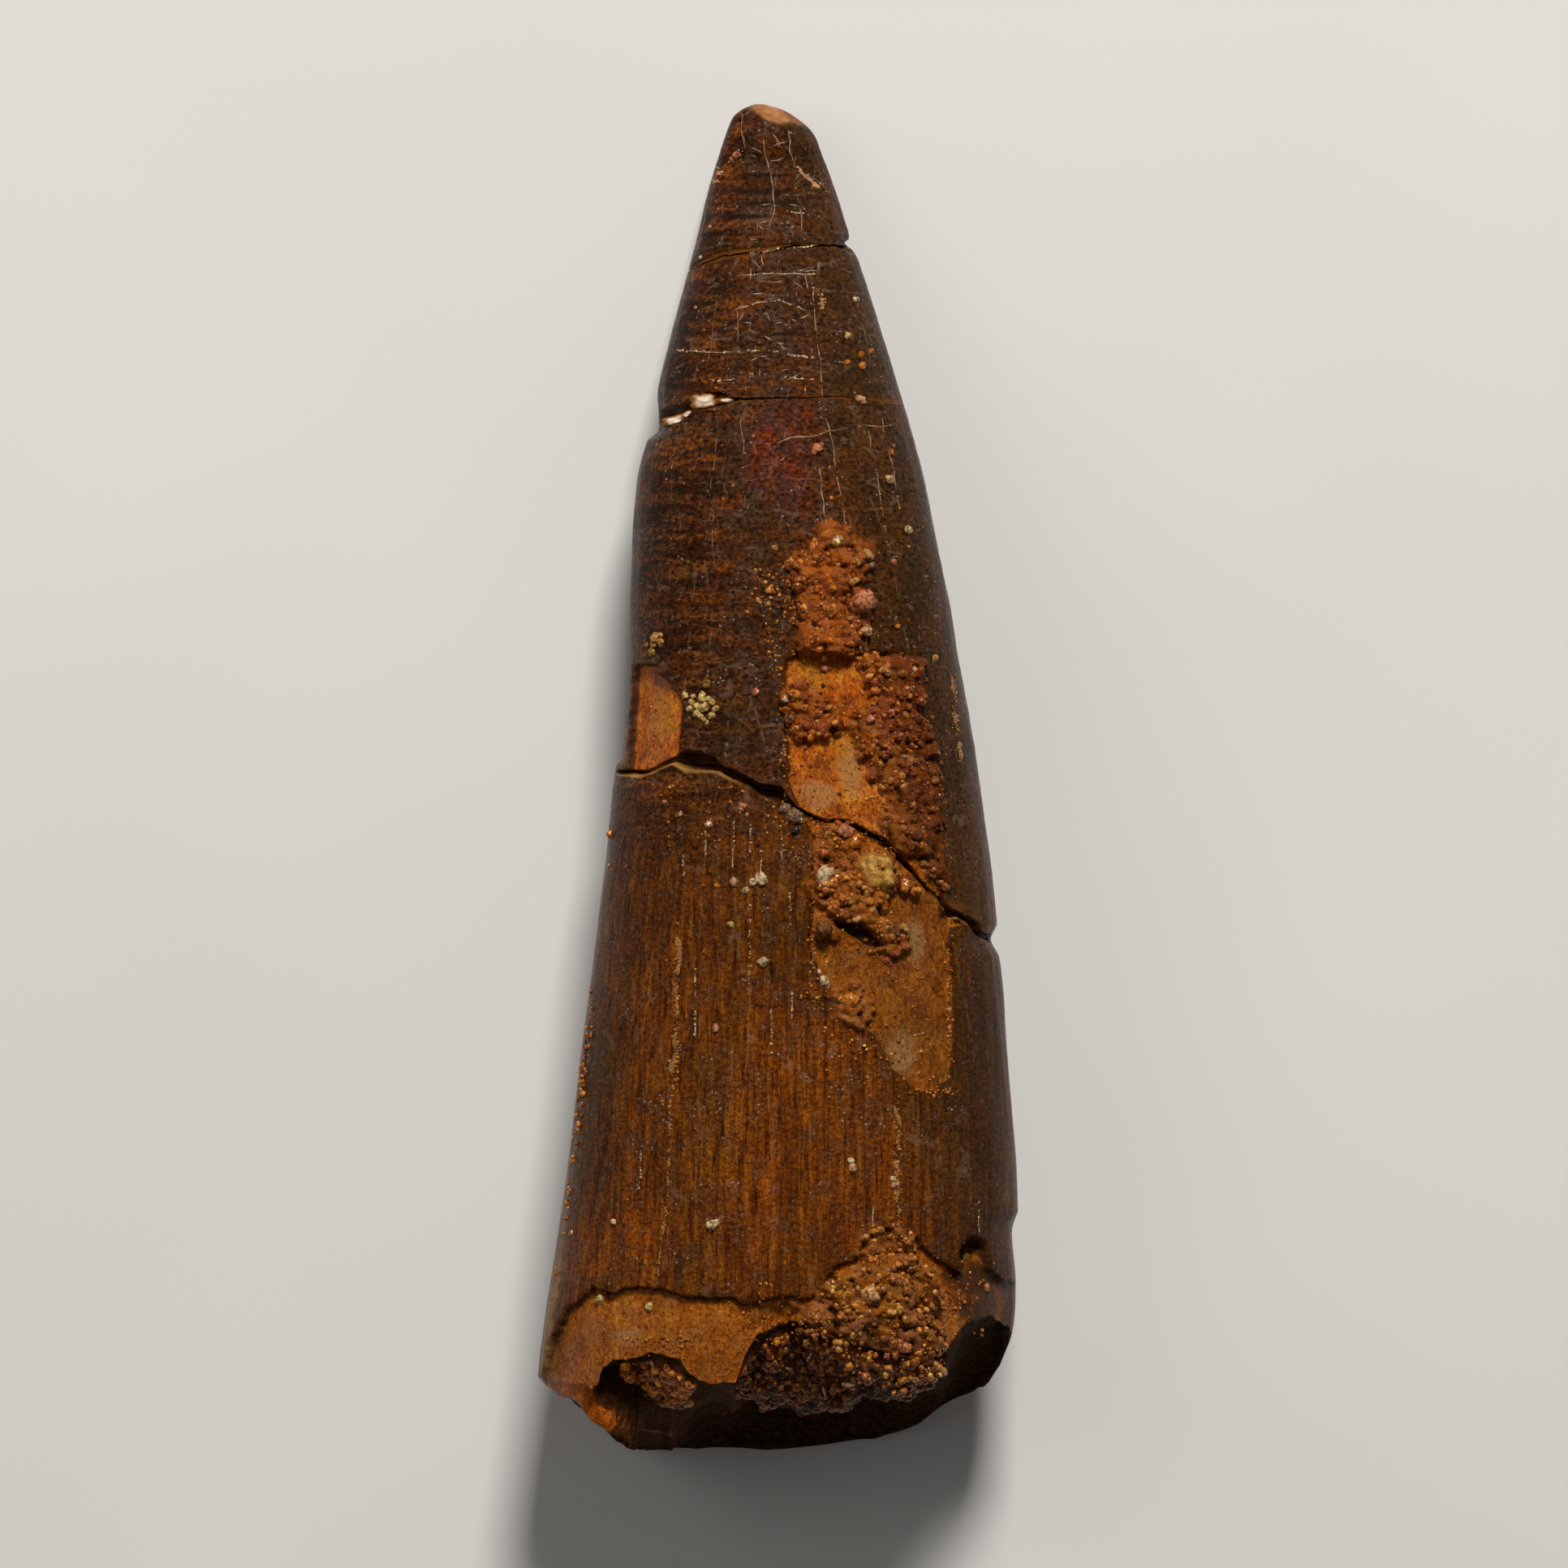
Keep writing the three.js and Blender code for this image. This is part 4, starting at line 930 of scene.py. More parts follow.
def ring_inside(edge, surface, reach_of):
    """A ring on an end surface inside its edge, each point as far from the middle as reach_of says."""
    middle = edge.mean(0)
    out = edge - middle
    out[:, 1] = 0
    length = np.hypot(out[:, 0], out[:, 2])
    share = reach_of(length) / length
    x = middle[0] + out[:, 0] * share
    z = middle[2] + out[:, 2] * share
    return np.stack([x, surface(x, z), z], 1)


MASKS = (
    "lost", "crust", "deep", "lip", "rim", "chunk", "hollow", "dome", "granule", "low", "across", "worn",
    "red", "yellow", "amber", "dark", "dull", "golden", "pale", "inner", "dirt",
)


def masks_like(ring, **values):
    return {name: np.broadcast_to(np.asarray(values.get(name, 0), float), len(ring)) for name in MASKS}


def outside_rows(angles, low, high, step):
    """Rows of the skin between two edges, close together near both."""
    count = max(2, round((np.max(high - low) - 2 * EVEN_ROWS) / step))
    places = [low + offset for offset in NEAR_ROWS]
    places += [mix(low + EVEN_ROWS, high - EVEN_ROWS, share) for share in np.linspace(0, 1, count + 1)]
    places += [high - offset for offset in NEAR_ROWS[::-1]]
    rows = np.stack(places)
    points, masks = outside_at(np.broadcast_to(angles, rows.shape), rows)
    masks["inner"] = np.zeros(rows.shape)
    # crusts low on the base are painted darker as shade
    masks["dirt"] = smooth((SHADE_START - rows) / 3) * smooth(masks["crust"] * 2)
    return list(points), [{name: mask[row] for name, mask in masks.items()} for row in range(len(rows))]


def share_ring(edge, surface, share):
    """A ring on an end surface, at a share of the way from the middle to the edge."""
    return ring_inside(edge, surface, lambda r: r * share)


def broken_face(edge, surface):
    """Rings of a fragment's broken face, from the middle out."""
    reaches = [lambda r: r * 0.3, lambda r: r * 0.7, lambda r: r - 1, lambda r: r - 0.3]
    rings = [ring_inside(edge, surface, reach) for reach in reaches]
    return rings, [masks_like(ring, inner=1) for ring in rings]


def worn_rings(edge, surface):
    rings = [share_ring(edge, surface, share) for share in (0.3, 0.7)]
    return rings, [masks_like(ring, worn=1) for ring in rings]


def cavity_wall(edge, clearance):
    """Rings of the cavity's wall, from its floor to its mouth."""
    rings = []
    for deep in np.linspace(1, 0, WALL_RINGS):
        share = mix(CAVITY_SHARE, CAVITY_TAPER, deep)
        ring = ring_inside(edge, broken_end, lambda r: r * share - clearance)
        rings.append(ring + np.array([0, deep * CAVITY_DEPTH, 0]))
    return rings


def end_masks(ring):
    """Masks of the broken end: sand where it stands out, lit bare dentine on a strip by the shelf, and
    broken dentine painted dark as shade elsewhere.
    """
    x, z = ring[:, 0], ring[:, 2]
    top, _ = end_heights(x)
    dome, which = end_granules(x, z)
    _, sandy = end_parts(x, z)
    inside = depth_inside(SHELF_RIM, x, ring[:, 1]) + 0.15 * rough(x * 2, z * 2, seed=105)
    lit_chip = soft(inside, 0.5) * smooth((z - top + CHIP_REACH) / 2)
    # painted shade: darker the deeper below the face
    dirt = smooth((top - z) / 5)
    return masks_like(ring, inner=1 - lit_chip, lost=lit_chip, crust=sandy, dome=dome, granule=which, dirt=dirt)


def hollow_rings(edge, surface):
    """The cavity's wall and the broken dentine round its mouth, from the floor out to the rim."""
    wall = cavity_wall(edge, 0)
    fine = np.linspace(CAVITY_SHARE, 1, 120)
    paths = np.stack([share_ring(edge, surface, share) for share in fine])
    lengths = np.cumsum(np.linalg.norm(np.diff(paths, axis=0, prepend=paths[:1]), axis=2), 0)
    steps = np.linspace(0, 1, MOUTH_RINGS + 2)[1:-1]
    even = np.stack([np.interp(steps * total[-1], total, fine) for total in lengths.T], 1)
    shares = sum(np.roll(even, shift, 1) for shift in range(-3, 4)) / 7
    lip = [share_ring(edge, surface, share) for share in shares]
    return wall + lip, [masks_like(ring, inner=1) for ring in wall] + [end_masks(ring) for ring in lip]


def fragment(name, node, slot, low_end, high_end, columns, step):
    """A fragment between two ends, and its lower edge. An end has a surface, a start and rings."""
    angles = angles_for(*columns)
    low = edge_along(low_end["surface"], low_end["start"], angles)
    high = edge_along(high_end["surface"], high_end["start"], angles)
    rings, ring_masks = outside_rows(angles, low, high, step)
    low_rings, low_masks = low_end["rings"](rings[0], low_end["surface"])
    high_rings, high_masks = high_end["rings"](rings[-1], high_end["surface"])
    all_masks = low_masks + ring_masks + high_masks[::-1]
    piece = skin_over(name, low_rings + rings + high_rings[::-1], all_masks)
    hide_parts(node)
    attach(piece, "root")
    return piece, rings[0]


def break_end(break_, side):
    return {"surface": break_surface(break_, side), "start": break_["start"], "rings": broken_face}


def make_cavity_sand(edge):
    wall = cavity_wall(edge, CAVITY_CLEARANCE)[1:]
    face = [share_ring(wall[-1], sand_face, share) for share in np.linspace(0.02, 0.99, SAND_RINGS)]
    rings = face + wall[::-1]
    ring_masks = []
    for ring in rings:
        dome, which = end_granules(ring[:, 0], ring[:, 2])
        # the cavity's sand is painted dark all over as shade
        ring_masks.append(masks_like(ring, crust=1, dome=dome, granule=which, dirt=1))
    piece = skin_over("cavity_sand_mass", rings, ring_masks)
    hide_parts("cavity_sand")
    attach(piece, "root")
    return piece


# Grains, granules and threads

def round_shell(subdivisions):
    """Points and faces of a unit ball."""
    shell = bmesh.new()
    bmesh.ops.create_icosphere(shell, subdivisions=subdivisions, radius=1)
    points = np.array([v.co for v in shell.verts])
    faces = np.array([[v.index for v in f.verts] for f in shell.faces])
    shell.free()
    return points, faces


def copies(faces, points_each, count):
    """The faces of a shell, count times over."""
    return (faces[None] + (np.arange(count) * points_each)[:, None, None]).reshape(-1, 3).tolist()


def rotations(count, random):
    """Random rotation matrices."""
    q = random.normal(size=(count, 4))
    w, x, y, z = (q / np.linalg.norm(q, axis=1, keepdims=True)).T
    return np.stack([
        np.stack([1 - 2 * (y * y + z * z), 2 * (x * y - z * w), 2 * (x * z + y * w)], -1),
        np.stack([2 * (x * y + z * w), 1 - 2 * (x * x + z * z), 2 * (y * z - x * w)], -1),
        np.stack([2 * (x * z - y * w), 2 * (y * z + x * w), 1 - 2 * (x * x + y * y)], -1),
    ], 1)


def grains(name, centres, radii, tints, seed, subdivisions=2, lumpy=0.16, bumps=1.7):
    """Many rounded grains in one mesh."""
    random = np.random.default_rng(seed)
    shell, shell_faces = round_shell(subdivisions)
    count = len(centres)
    stretch = random.uniform(0.75, 1.2, (count, 1, 3))
    at = shell[None] * bumps + random.uniform(0, 50, (count, 1, 3))
    swollen = 1 + lumpy * rough(at[..., 0], at[..., 1], at[..., 2], seed=seed)
    shape = shell[None] * swollen[..., None] * stretch
    turned = np.einsum("nij,nkj->nki", rotations(count, random), shape)
    points = (turned * radii[:, None, None] + centres[:, None]).reshape(-1, 3)
    faces = copies(shell_faces, len(shell), count)
    piece = new_object(name, points, faces, colours=np.repeat(tints, len(shell), 0))
    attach(piece, "root")
    return piece


def on_skin(x, y):
    """Where the finished face is over places, and the direction out of it."""
    angle = angle_at(x, y)
    points, _ = outside_at(angle, y)
    _, _, out_x, out_z = plain_outside(angle, y)
    return points, np.stack([out_x, np.zeros(len(points)), out_z], 1)


def on_face(places, radii, lift):
    """Middles of grains on the finished face, lifted out of it by a share of their radii."""
    points, out = on_skin(*places.T)
    return points + out * (radii * lift)[:, None]


def on_end(x, z):
    """Where the broken end is at places, and the direction out of it."""
    step = 0.3
    slope_x = (broken_end(x + step, z) - broken_end(x - step, z)) / (2 * step)
    slope_z = (broken_end(x, z + step) - broken_end(x, z - step)) / (2 * step)
    out = np.stack([slope_x, -np.ones(len(x)), slope_z], 1)
    return np.stack([x, broken_end(x, z), z], 1), out / np.linalg.norm(out, axis=1, keepdims=True)


def scatter(outline, per_mm2, random):
    """Random places inside an outline, a few of them strayed out of it."""
    corners = np.array(outline)
    low, high = corners.min(0) - 0.3, corners.max(0) + 0.3
    places = random.uniform(low, high, (int(np.prod(high - low) * per_mm2), 2))
    stray = np.abs(random.normal(0, 0.2, len(places)))
    return places[depth_inside(outline, places[:, 0], places[:, 1]) + stray > 0]


def sand_tints(count, random, kinds=SAND_TINTS):
    tints = kinds[random.integers(0, len(kinds), count)]
    return tints * random.uniform(0.65, 1.2, (count, 1))


def crust_grains():
    """Grains that stand on the crusts of the face."""
    random = np.random.default_rng(201)
    places = np.concatenate([scatter(outline, 9.5, random) for _, outline in CRUST_FIELDS])
    places = places[depth_inside(CHUNK, places[:, 0], places[:, 1]) < 0]
    radii = 0.08 + 0.21 * random.uniform(0, 1, len(places)) ** 1.7
    centres = on_face(places, radii, random.uniform(-1, 0.1, len(places)))
    # grains on the right slope are painted darker as shade
    right_slope = smooth((places[:, 0] - 5.5) / 3) * smooth((places[:, 1] + 12) / 3)
    high = (places[:, 1] > -3)[:, None]
    shade = mix(1, 0.6, right_slope)[:, None]
    tints = sand_tints(len(places), random) * np.where(high, (0.9, 0.7, 0.6), 1) * shade
    tints = np.where((places[:, 1] < -27)[:, None], sand_tints(len(places), random, BASE_TINTS), tints)
    return grains("crust_grains", centres, radii, tints, 202, lumpy=0.36, bumps=2.4)


def end_grains():
    """Grains on the sand of the broken end."""
    random = np.random.default_rng(211)
    x = random.uniform(-9.9, 9.8, END_GRAINS)
    top, _ = end_heights(x)
    z = top - random.uniform(0, 9, len(x))
    there = end_parts(x, z)[1] > random.uniform(0.3, 0.9, len(x))
    x, z = x[there], z[there]
    points, out = on_end(x, z)
    left = x < -5
    radii = 0.11 + 0.16 * random.uniform(0, 1, len(x)) ** 1.4 + 0.09 * left
    centres = points + out * (radii * random.uniform(-1, 0.25, len(x)))[:, None]
    # painted shade: grains darker the deeper below the face
    shade = mix(1.1, 0.6, smooth((top[there] - z) / 5))[:, None] * (1, 0.82, 0.5)
    tints = sand_tints(len(x), random, BASE_TINTS) * shade * (1 + 0.9 * left)[:, None]
    return grains("end_grains", centres, radii, tints, 212, lumpy=0.36, bumps=2.4)


def splinters():
    """Slivers of dentine caught in the sand of the broken end."""
    x, depth, half_length, half_width, turn = np.array(SPLINTERS).T
    top, _ = end_heights(x)
    points, out = on_end(x, top - depth)
    shell, shell_faces = round_shell(3)
    swollen = shell * (1 + 0.25 * rough(*(shell * 2.1).T, seed=261))[:, None]
    placed = []
    for index, angle in enumerate(np.radians(turn)):
        across = np.cross(out[index], (math.sin(angle), -math.cos(angle), -0.5))
        across /= np.linalg.norm(across)
        along = np.cross(across, out[index])
        axes = np.stack([along * half_length[index], across * half_width[index], out[index] * 0.1])
        placed.append(points[index] + out[index] * 0.12 + swollen @ axes)
    faces = copies(shell_faces, len(shell), len(x))
    tints = np.tile(SPLINTER_TINT, (len(shell) * len(x), 1))
    piece = new_object("splinters", np.concatenate(placed), faces, colours=tints)
    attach(piece, "root")
    return piece


def crumbs():
    """Fine crumbs beside the crusts, along edges, on the face and at the base's left rim."""
    random = np.random.default_rng(221)
    places = [scatter(CRUMB_PATCH, 9, random)]
    for x, y, spread_x, spread_y, count in CRUMB_EDGES:
        places.append(random.normal((x, y), (spread_x, spread_y), (count, 2)))
    for low_x, low_y, high_x, high_y, count in CRUMB_FIELDS:
        places.append(random.uniform((low_x, low_y), (high_x, high_y), (count, 2)))
    places = np.concatenate(places)
    rim_y = random.triangular(-31, -17, -12, RIM_CRUMBS)
    rim = np.stack([line_at(LEFT_EDGE, rim_y) + random.uniform(0.1, 0.5, RIM_CRUMBS), rim_y], 1)
    middle_x, _, half_width, _ = section_at(places[:, 1])
    places = np.concatenate([places[np.abs(places[:, 0] - middle_x) < 0.93 * half_width], rim])
    radii = random.uniform(0.04, 0.12, len(places))
    radii[-len(rim):] = 0.05 + 0.15 * random.uniform(0, 1, len(rim)) ** 2.2
    centres = on_face(places, radii, random.uniform(-0.4, 0.3, len(places)))
    return grains("crumbs", centres, radii, sand_tints(len(places), random), 222, lumpy=0.3)


def single_granules():
    rows = np.array([(*row, *TINTS[kind]) for kind, listed in GRANULES.items() for row in listed])
    centres = on_face(rows[:, :2], rows[:, 2], -0.05)
    return grains("granules", centres, rows[:, 2], rows[:, 3:], 232, subdivisions=3, lumpy=0.42, bumps=2.6)


def filler_blobs():
    """Flat-topped lumps of repair filler in the second break, amber at their edges."""
    x, y, half_x, half_y, turn = np.array(FILLER_BLOBS).T
    plain_x, plain_z, _, _ = plain_outside(angle_at(x, y), y)
    shell, shell_faces = round_shell(4)
    boxy = shell / np.linalg.norm(shell, ord=3, axis=1, keepdims=True)
    edge = np.maximum(np.abs(boxy[:, 0]), 0.9 * np.abs(boxy[:, 1]))
    points, colours = [], []
    for index, angle in enumerate(np.radians(turn)):
        uneven = rough(*(shell * 1.7).T, seed=241 + index)
        size = (half_x[index], half_y[index], 0.3)
        across, along, up = (boxy * (1 + 0.45 * uneven)[:, None] * size).T
        cos, sin = math.cos(angle), math.sin(angle)
        turned = np.stack([across * cos - along * sin, across * sin + along * cos, up], 1)
        points.append(turned + (plain_x[index], y[index], plain_z[index] - FILLER_DEPTH))
        rim = smooth((edge + 0.3 * uneven - 0.5) / 0.25)
        colours.append(mix(np.array(FILLER_WHITE), np.array(FILLER_AMBER), rim[:, None]))
    faces = copies(shell_faces, len(shell), len(x))
    piece = new_object("filler_blobs", np.concatenate(points), faces, colours=np.concatenate(colours))
    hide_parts("break_filler")
    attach(piece, "root")
    return piece


def scratches():
    """Short curved scratches of the enamel near the tip."""
    random = np.random.default_rng(271)
    for _ in range(SCRATCHES):
        middle = random.uniform((-2.8, 22.8), (3.2, 38))
        middle[0] *= 1 - (middle[1] - 22.8) / 35
        angle = random.choice((0, 0.2, math.pi / 2, 2.4)) + random.normal(0, 0.25)
        half = random.uniform(0.12, 0.5) * np.array([math.cos(angle), math.sin(angle)])
        bow = random.uniform(-0.16, 0.16) * np.array([-half[1], half[0]])
        yield "scratch", [middle - half, middle + bow, middle + half]


def thread_places():
    """The threads' paths, made to waver: kind, row in the noise, places across and along, distances."""
    drawn = [(kind, path) for kind, paths in THREADS.items() for path in paths]
    for number, (kind, path) in enumerate([*drawn, *scratches()]):
        corners = np.array(path, float)
        knots = np.concatenate([[0], np.cumsum(np.hypot(*np.diff(corners, axis=0).T))])
        at = np.linspace(0, knots[-1], max(4, int(knots[-1] / THREAD_STEP)))
        row = number * 7.3
        x = np.interp(at, knots, corners[:, 0]) + 0.07 * rough(at * 1.3, row, seed=151)
        y = np.interp(at, knots, corners[:, 1]) + 0.07 * rough(at * 1.3, row, seed=154)
        yield kind, row, x, y, at


def threads():
    """Narrow strips on the face for hairline cracks, filled cracks and scars."""
    places_x, places_y, lifts, faces, colours = [], [], [], [], []
    start = 0
    for kind, row, x, y, at in thread_places():
        along = np.stack([np.gradient(x), np.gradient(y)])
        along /= np.linalg.norm(along, axis=0)
        ends = smooth(np.minimum(at, at[-1] - at) / 0.25)
        broken = smooth(THREAD_WHOLE[kind] + 2 * noise(at * 1.9, row, seed=155))
        half = THREAD_WIDTH[kind] / 2 * (1 + 0.6 * noise(at * 5, row, seed=156)) * ends * broken
        for side in (1, 0, -1):
            places_x.append(x - along[1] * half * side)
            places_y.append(y + along[0] * half * side)
            lifts.append(0.01 + 0.25 * half * (side == 0))
        for shift in (0, len(at)):
            a = start + shift + np.arange(len(at) - 1)
            faces += np.stack([a, a + len(at), a + len(at) + 1, a + 1], 1).tolist()
        shade = 1 + 0.35 * noise(at * 3, row, seed=157)
        colours.append(np.tile(np.array(TINTS[kind]) * shade[:, None], (3, 1)))
        start += 3 * len(at)
    points, out = on_skin(np.concatenate(places_x), np.concatenate(places_y))
    points = points + out * np.concatenate(lifts)[:, None]
    piece = new_object("threads", points, faces, colours=np.concatenate(colours))
    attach(piece, "root")
    return piece


def thread_crumbs():
    """Specks of mineral strung along the cracks and scars."""
    random = np.random.default_rng(251)
    places, tints = [], []
    for kind, _, x, y, at in thread_places():
        count = int(THREAD_CRUMBS.get(kind, 0) * at[-1])
        chosen = random.uniform(0, at[-1], count)
        spread = THREAD_WIDTH[kind] * 0.45
        place = np.stack([np.interp(chosen, at, x), np.interp(chosen, at, y)], 1)
        places.append(place + random.normal(0, spread, (count, 2)))
        tints.append(np.array(TINTS[kind]) * random.uniform(0.6, 1.25, (count, 1)))
    places = np.concatenate(places)
    radii = random.uniform(0.025, 0.09, len(places))
    return grains("thread_crumbs", on_face(places, radii, 0.1), radii, np.concatenate(tints), 252)


# Materials

WHITE = (1, 1, 1)


class Shader:
    """A material's nodes, made one call at a time. Most calls give an output socket."""

    def __init__(self, name):
        self.material = bpy.data.materials.new(name)
        self.material.use_nodes = True
        self.tree = self.material.node_tree
        self.tree.nodes.clear()
        self.surface = self.add("ShaderNodeBsdfPrincipled")
        self.add("ShaderNodeOutputMaterial", {"Surface": self.surface.outputs[0]})
        place = self.add("ShaderNodeTexCoord").outputs["Object"]
        self.place = self.tone(place, (1000, 1000, 1000))

    def add(self, kind, values=None, **settings):
        """A node with its settings, and with values or sockets put into its inputs."""
        node = self.tree.nodes.new(kind)
        for name, value in settings.items():
            setattr(node, name, value)
        for name, value in (values or {}).items():
            self.put(node.inputs[name], value)
        return node

    def put(self, socket, value):
        if isinstance(value, bpy.types.NodeSocket):
            self.tree.links.new(value, socket)
        elif isinstance(value, tuple) and len(value) == 3 and socket.type == "RGBA":
            socket.default_value = (*value, 1)
        else:
            socket.default_value = value

    def tone(self, colour, factors):
        """A colour or a place multiplied by three factors."""
        values = {0: colour, 1: factors}
        return self.add("ShaderNodeVectorMath", values, operation="MULTIPLY").outputs[0]

    def maths(self, operation, a, b):
        return self.add("ShaderNodeMath", {0: a, 1: b}, operation=operation).outputs[0]

    def times(self, a, b):
        return self.maths("MULTIPLY", a, b)

    def scaled(self, scale):
        """The place in millimetres, times one scale or three."""
        return self.tone(self.place, scale if isinstance(scale, tuple) else (scale, scale, scale))

    def noise(self, scale, detail=3.0, roughness=0.55, distortion=0.0):
        """Noise with scale bumps to the millimetre, the same or other numbers along X, Y and Z."""
        values = {"Vector": self.scaled(scale), "Scale": 1.0, "Detail": detail, "Roughness": roughness}
        return self.add("ShaderNodeTexNoise", {**values, "Distortion": distortion}).outputs["Fac"]

    def cells(self, scale, feature="F1"):
        """Distance to the nearest of scattered places, or to the lines between them, scale to the mm."""
        values = {"Vector": self.scaled(scale), "Scale": 1.0}
        return self.add("ShaderNodeTexVoronoi", values, feature=feature).outputs["Distance"]

    def ramp(self, factor, stops):
        """A colour ramp. Stops are (place, colour)."""
        node = self.add("ShaderNodeValToRGB", {"Fac": factor})
        elements = node.color_ramp.elements
        while len(elements) < len(stops):
            elements.new(0.5)
        for element, (place, colour) in zip(elements, stops):
            element.position = place
            element.color = (*colour, 1)
        return node.outputs["Color"]

    def step(self, factor, low, high, to_low=0.0, to_high=1.0):
        """A smooth step from to_low at low to to_high at high."""
        values = {"Value": factor, "From Min": low, "From Max": high, "To Min": to_low, "To Max": to_high}
        return self.add("ShaderNodeMapRange", values, interpolation_type="SMOOTHSTEP").outputs["Result"]

    def mix(self, share, a, b):
        node = self.add("ShaderNodeMix", data_type="RGBA")
        self.put(node.inputs["Factor"], share)
        colours = [s for s in node.inputs if s.type == "RGBA"]
        self.put(colours[0], a)
        self.put(colours[1], b)
        return next(s for s in node.outputs if s.type == "RGBA")

    def layers(self, colour, pairs):
        """A colour with others laid over it in turn. Each pair is a share and a colour."""
        for share, over in pairs:
            colour = self.mix(share, colour, over)
        return colour

    def toned(self, share, colour, factors):
        """A colour multiplied by three factors as far as share says."""
        return self.mix(share, colour, self.tone(colour, factors))

    def mask(self, name, share=None):
        mask = self.add("ShaderNodeAttribute", attribute_name=name).outputs["Fac"]
        return mask if share is None else self.times(mask, share)

    def tint(self):
        return self.add("ShaderNodeAttribute", attribute_name="tint").outputs["Color"]

    def bump(self, height, strength, distance, normal=None):
        values = {"Height": height, "Strength": strength, "Distance": distance * MM}
        if normal is not None:
            values["Normal"] = normal
        return self.add("ShaderNodeBump", values).outputs["Normal"]

    def finish(self, **sockets):
        for name, value in sockets.items():
            self.put(self.surface.inputs[name.replace("_", " ")], value)
        return self.material


class ToothShader(Shader):
    """A shader with the noises and masks that several layers of the tooth share."""

    def __init__(self, name):
        super().__init__(name)
        self.worm = self.noise((3.4, 4.2, 3.4), detail=4, roughness=0.7)
        self.grain = self.noise((2.4, 0.12, 2.4), detail=5, roughness=0.7, distortion=0.25)
        self.fibre = self.noise((1.9, 0.3, 1.9), detail=5, roughness=0.65)
        self.patchy = self.noise((0.8, 0.6, 0.8), detail=5, roughness=0.65)
        self.coarse = self.noise(2.6, detail=4, roughness=0.7)
        self.scratch = self.noise((4.2, 1.5, 4.2), detail=5, roughness=0.75, distortion=0.4)
        # pale specks: painted glints
        self.painted_glint = self.step(self.cells(4.5), 0.13, 0.08, 0, 0.7)
        self.low = self.mask("low")
        self.high = self.maths("SUBTRACT", 1.0, self.low)


def upper_enamel(s, across, cloud, sheen, olive):
    """The enamel's colour near the tip: amber in bands, with a painted grey sheen in the middle and olive at
    the right.
    """
    amber = s.ramp(s.worm, [
        (0.36, (0.013, 0.004, 0.0007)), (0.46, (0.043, 0.0115, 0.0012)), (0.56, (0.084, 0.0245, 0.0024)),
        (0.7, (0.16, 0.058, 0.009)),
    ])
    bands = s.ramp(s.noise((0.25, 1.5, 0.25), detail=3, roughness=0.6, distortion=0.5), [
        (0.4, (0.35, 0.32, 0.3)), (0.5, (0.9, 0.85, 0.7)), (0.6, (1.7, 1.75, 1.6)),
    ])
    glow = s.ramp(s.noise(0.45), [(0.38, (0.75, 0.8, 0.8)), (0.6, (1.4, 1.15, 0.9))])
    band = s.mix(s.step(across, -0.1, -0.55), WHITE, bands)
    colour = s.tone(s.mix(s.step(across, 0.2, 0.6), s.tone(amber, band), olive), glow)
    # painted grey sheen, strongest in the middle of the face
    middle = s.times(s.step(across, -0.6, -0.25), s.step(across, 0.5, 0.1))
    sheen_share = s.times(s.step(cloud, 0.42, 0.6), s.maths("ADD", s.times(middle, 0.6), 0.25))
    return s.mix(sheen_share, colour, sheen)


def lower_enamel(s, across, cloud, sheen, olive):
    """The enamel's colour near the base, with its lengthwise grain."""
    colour = s.ramp(s.grain, [
        (0.34, (0.058, 0.014, 0.0008)), (0.46, (0.108, 0.027, 0.0012)), (0.56, (0.162, 0.043, 0.0018)),
        (0.68, (0.224, 0.072, 0.0055)),
    ])
    tones = [
        (s.worm, [(0.36, (0.46, 0.43, 0.36)), (0.5, WHITE), (0.66, (1.35, 1.45, 1.8))]),
        (s.noise((9, 6, 9), detail=2), [(0.36, (0.66, 0.64, 0.6)), (0.5, WHITE), (0.64, (1.3, 1.32, 1.4))]),
        (s.noise((4.5, 0.16, 4.5)), [(0.36, (0.4, 0.36, 0.3)), (0.43, WHITE), (0.6, (1.12, 1.14, 1.2))]),
        (s.noise((0.22, 0.08, 0.22)), [(0.38, (0.78, 0.9, 0.85)), (0.5, WHITE), (0.62, (1.16, 1.06, 1))]),
    ]
    for factor, stops in tones:
        colour = s.tone(colour, s.ramp(factor, stops))
    # cloudy grey-brown patches, partly painted sheen, and olive at the right
    return s.layers(colour, [
        (s.step(cloud, 0.46, 0.62, 0, 0.55), s.tone(sheen, (1.45, 1.2, 1))),
        (s.step(across, 0.5, 0.85, 0, 0.6), olive),
    ])


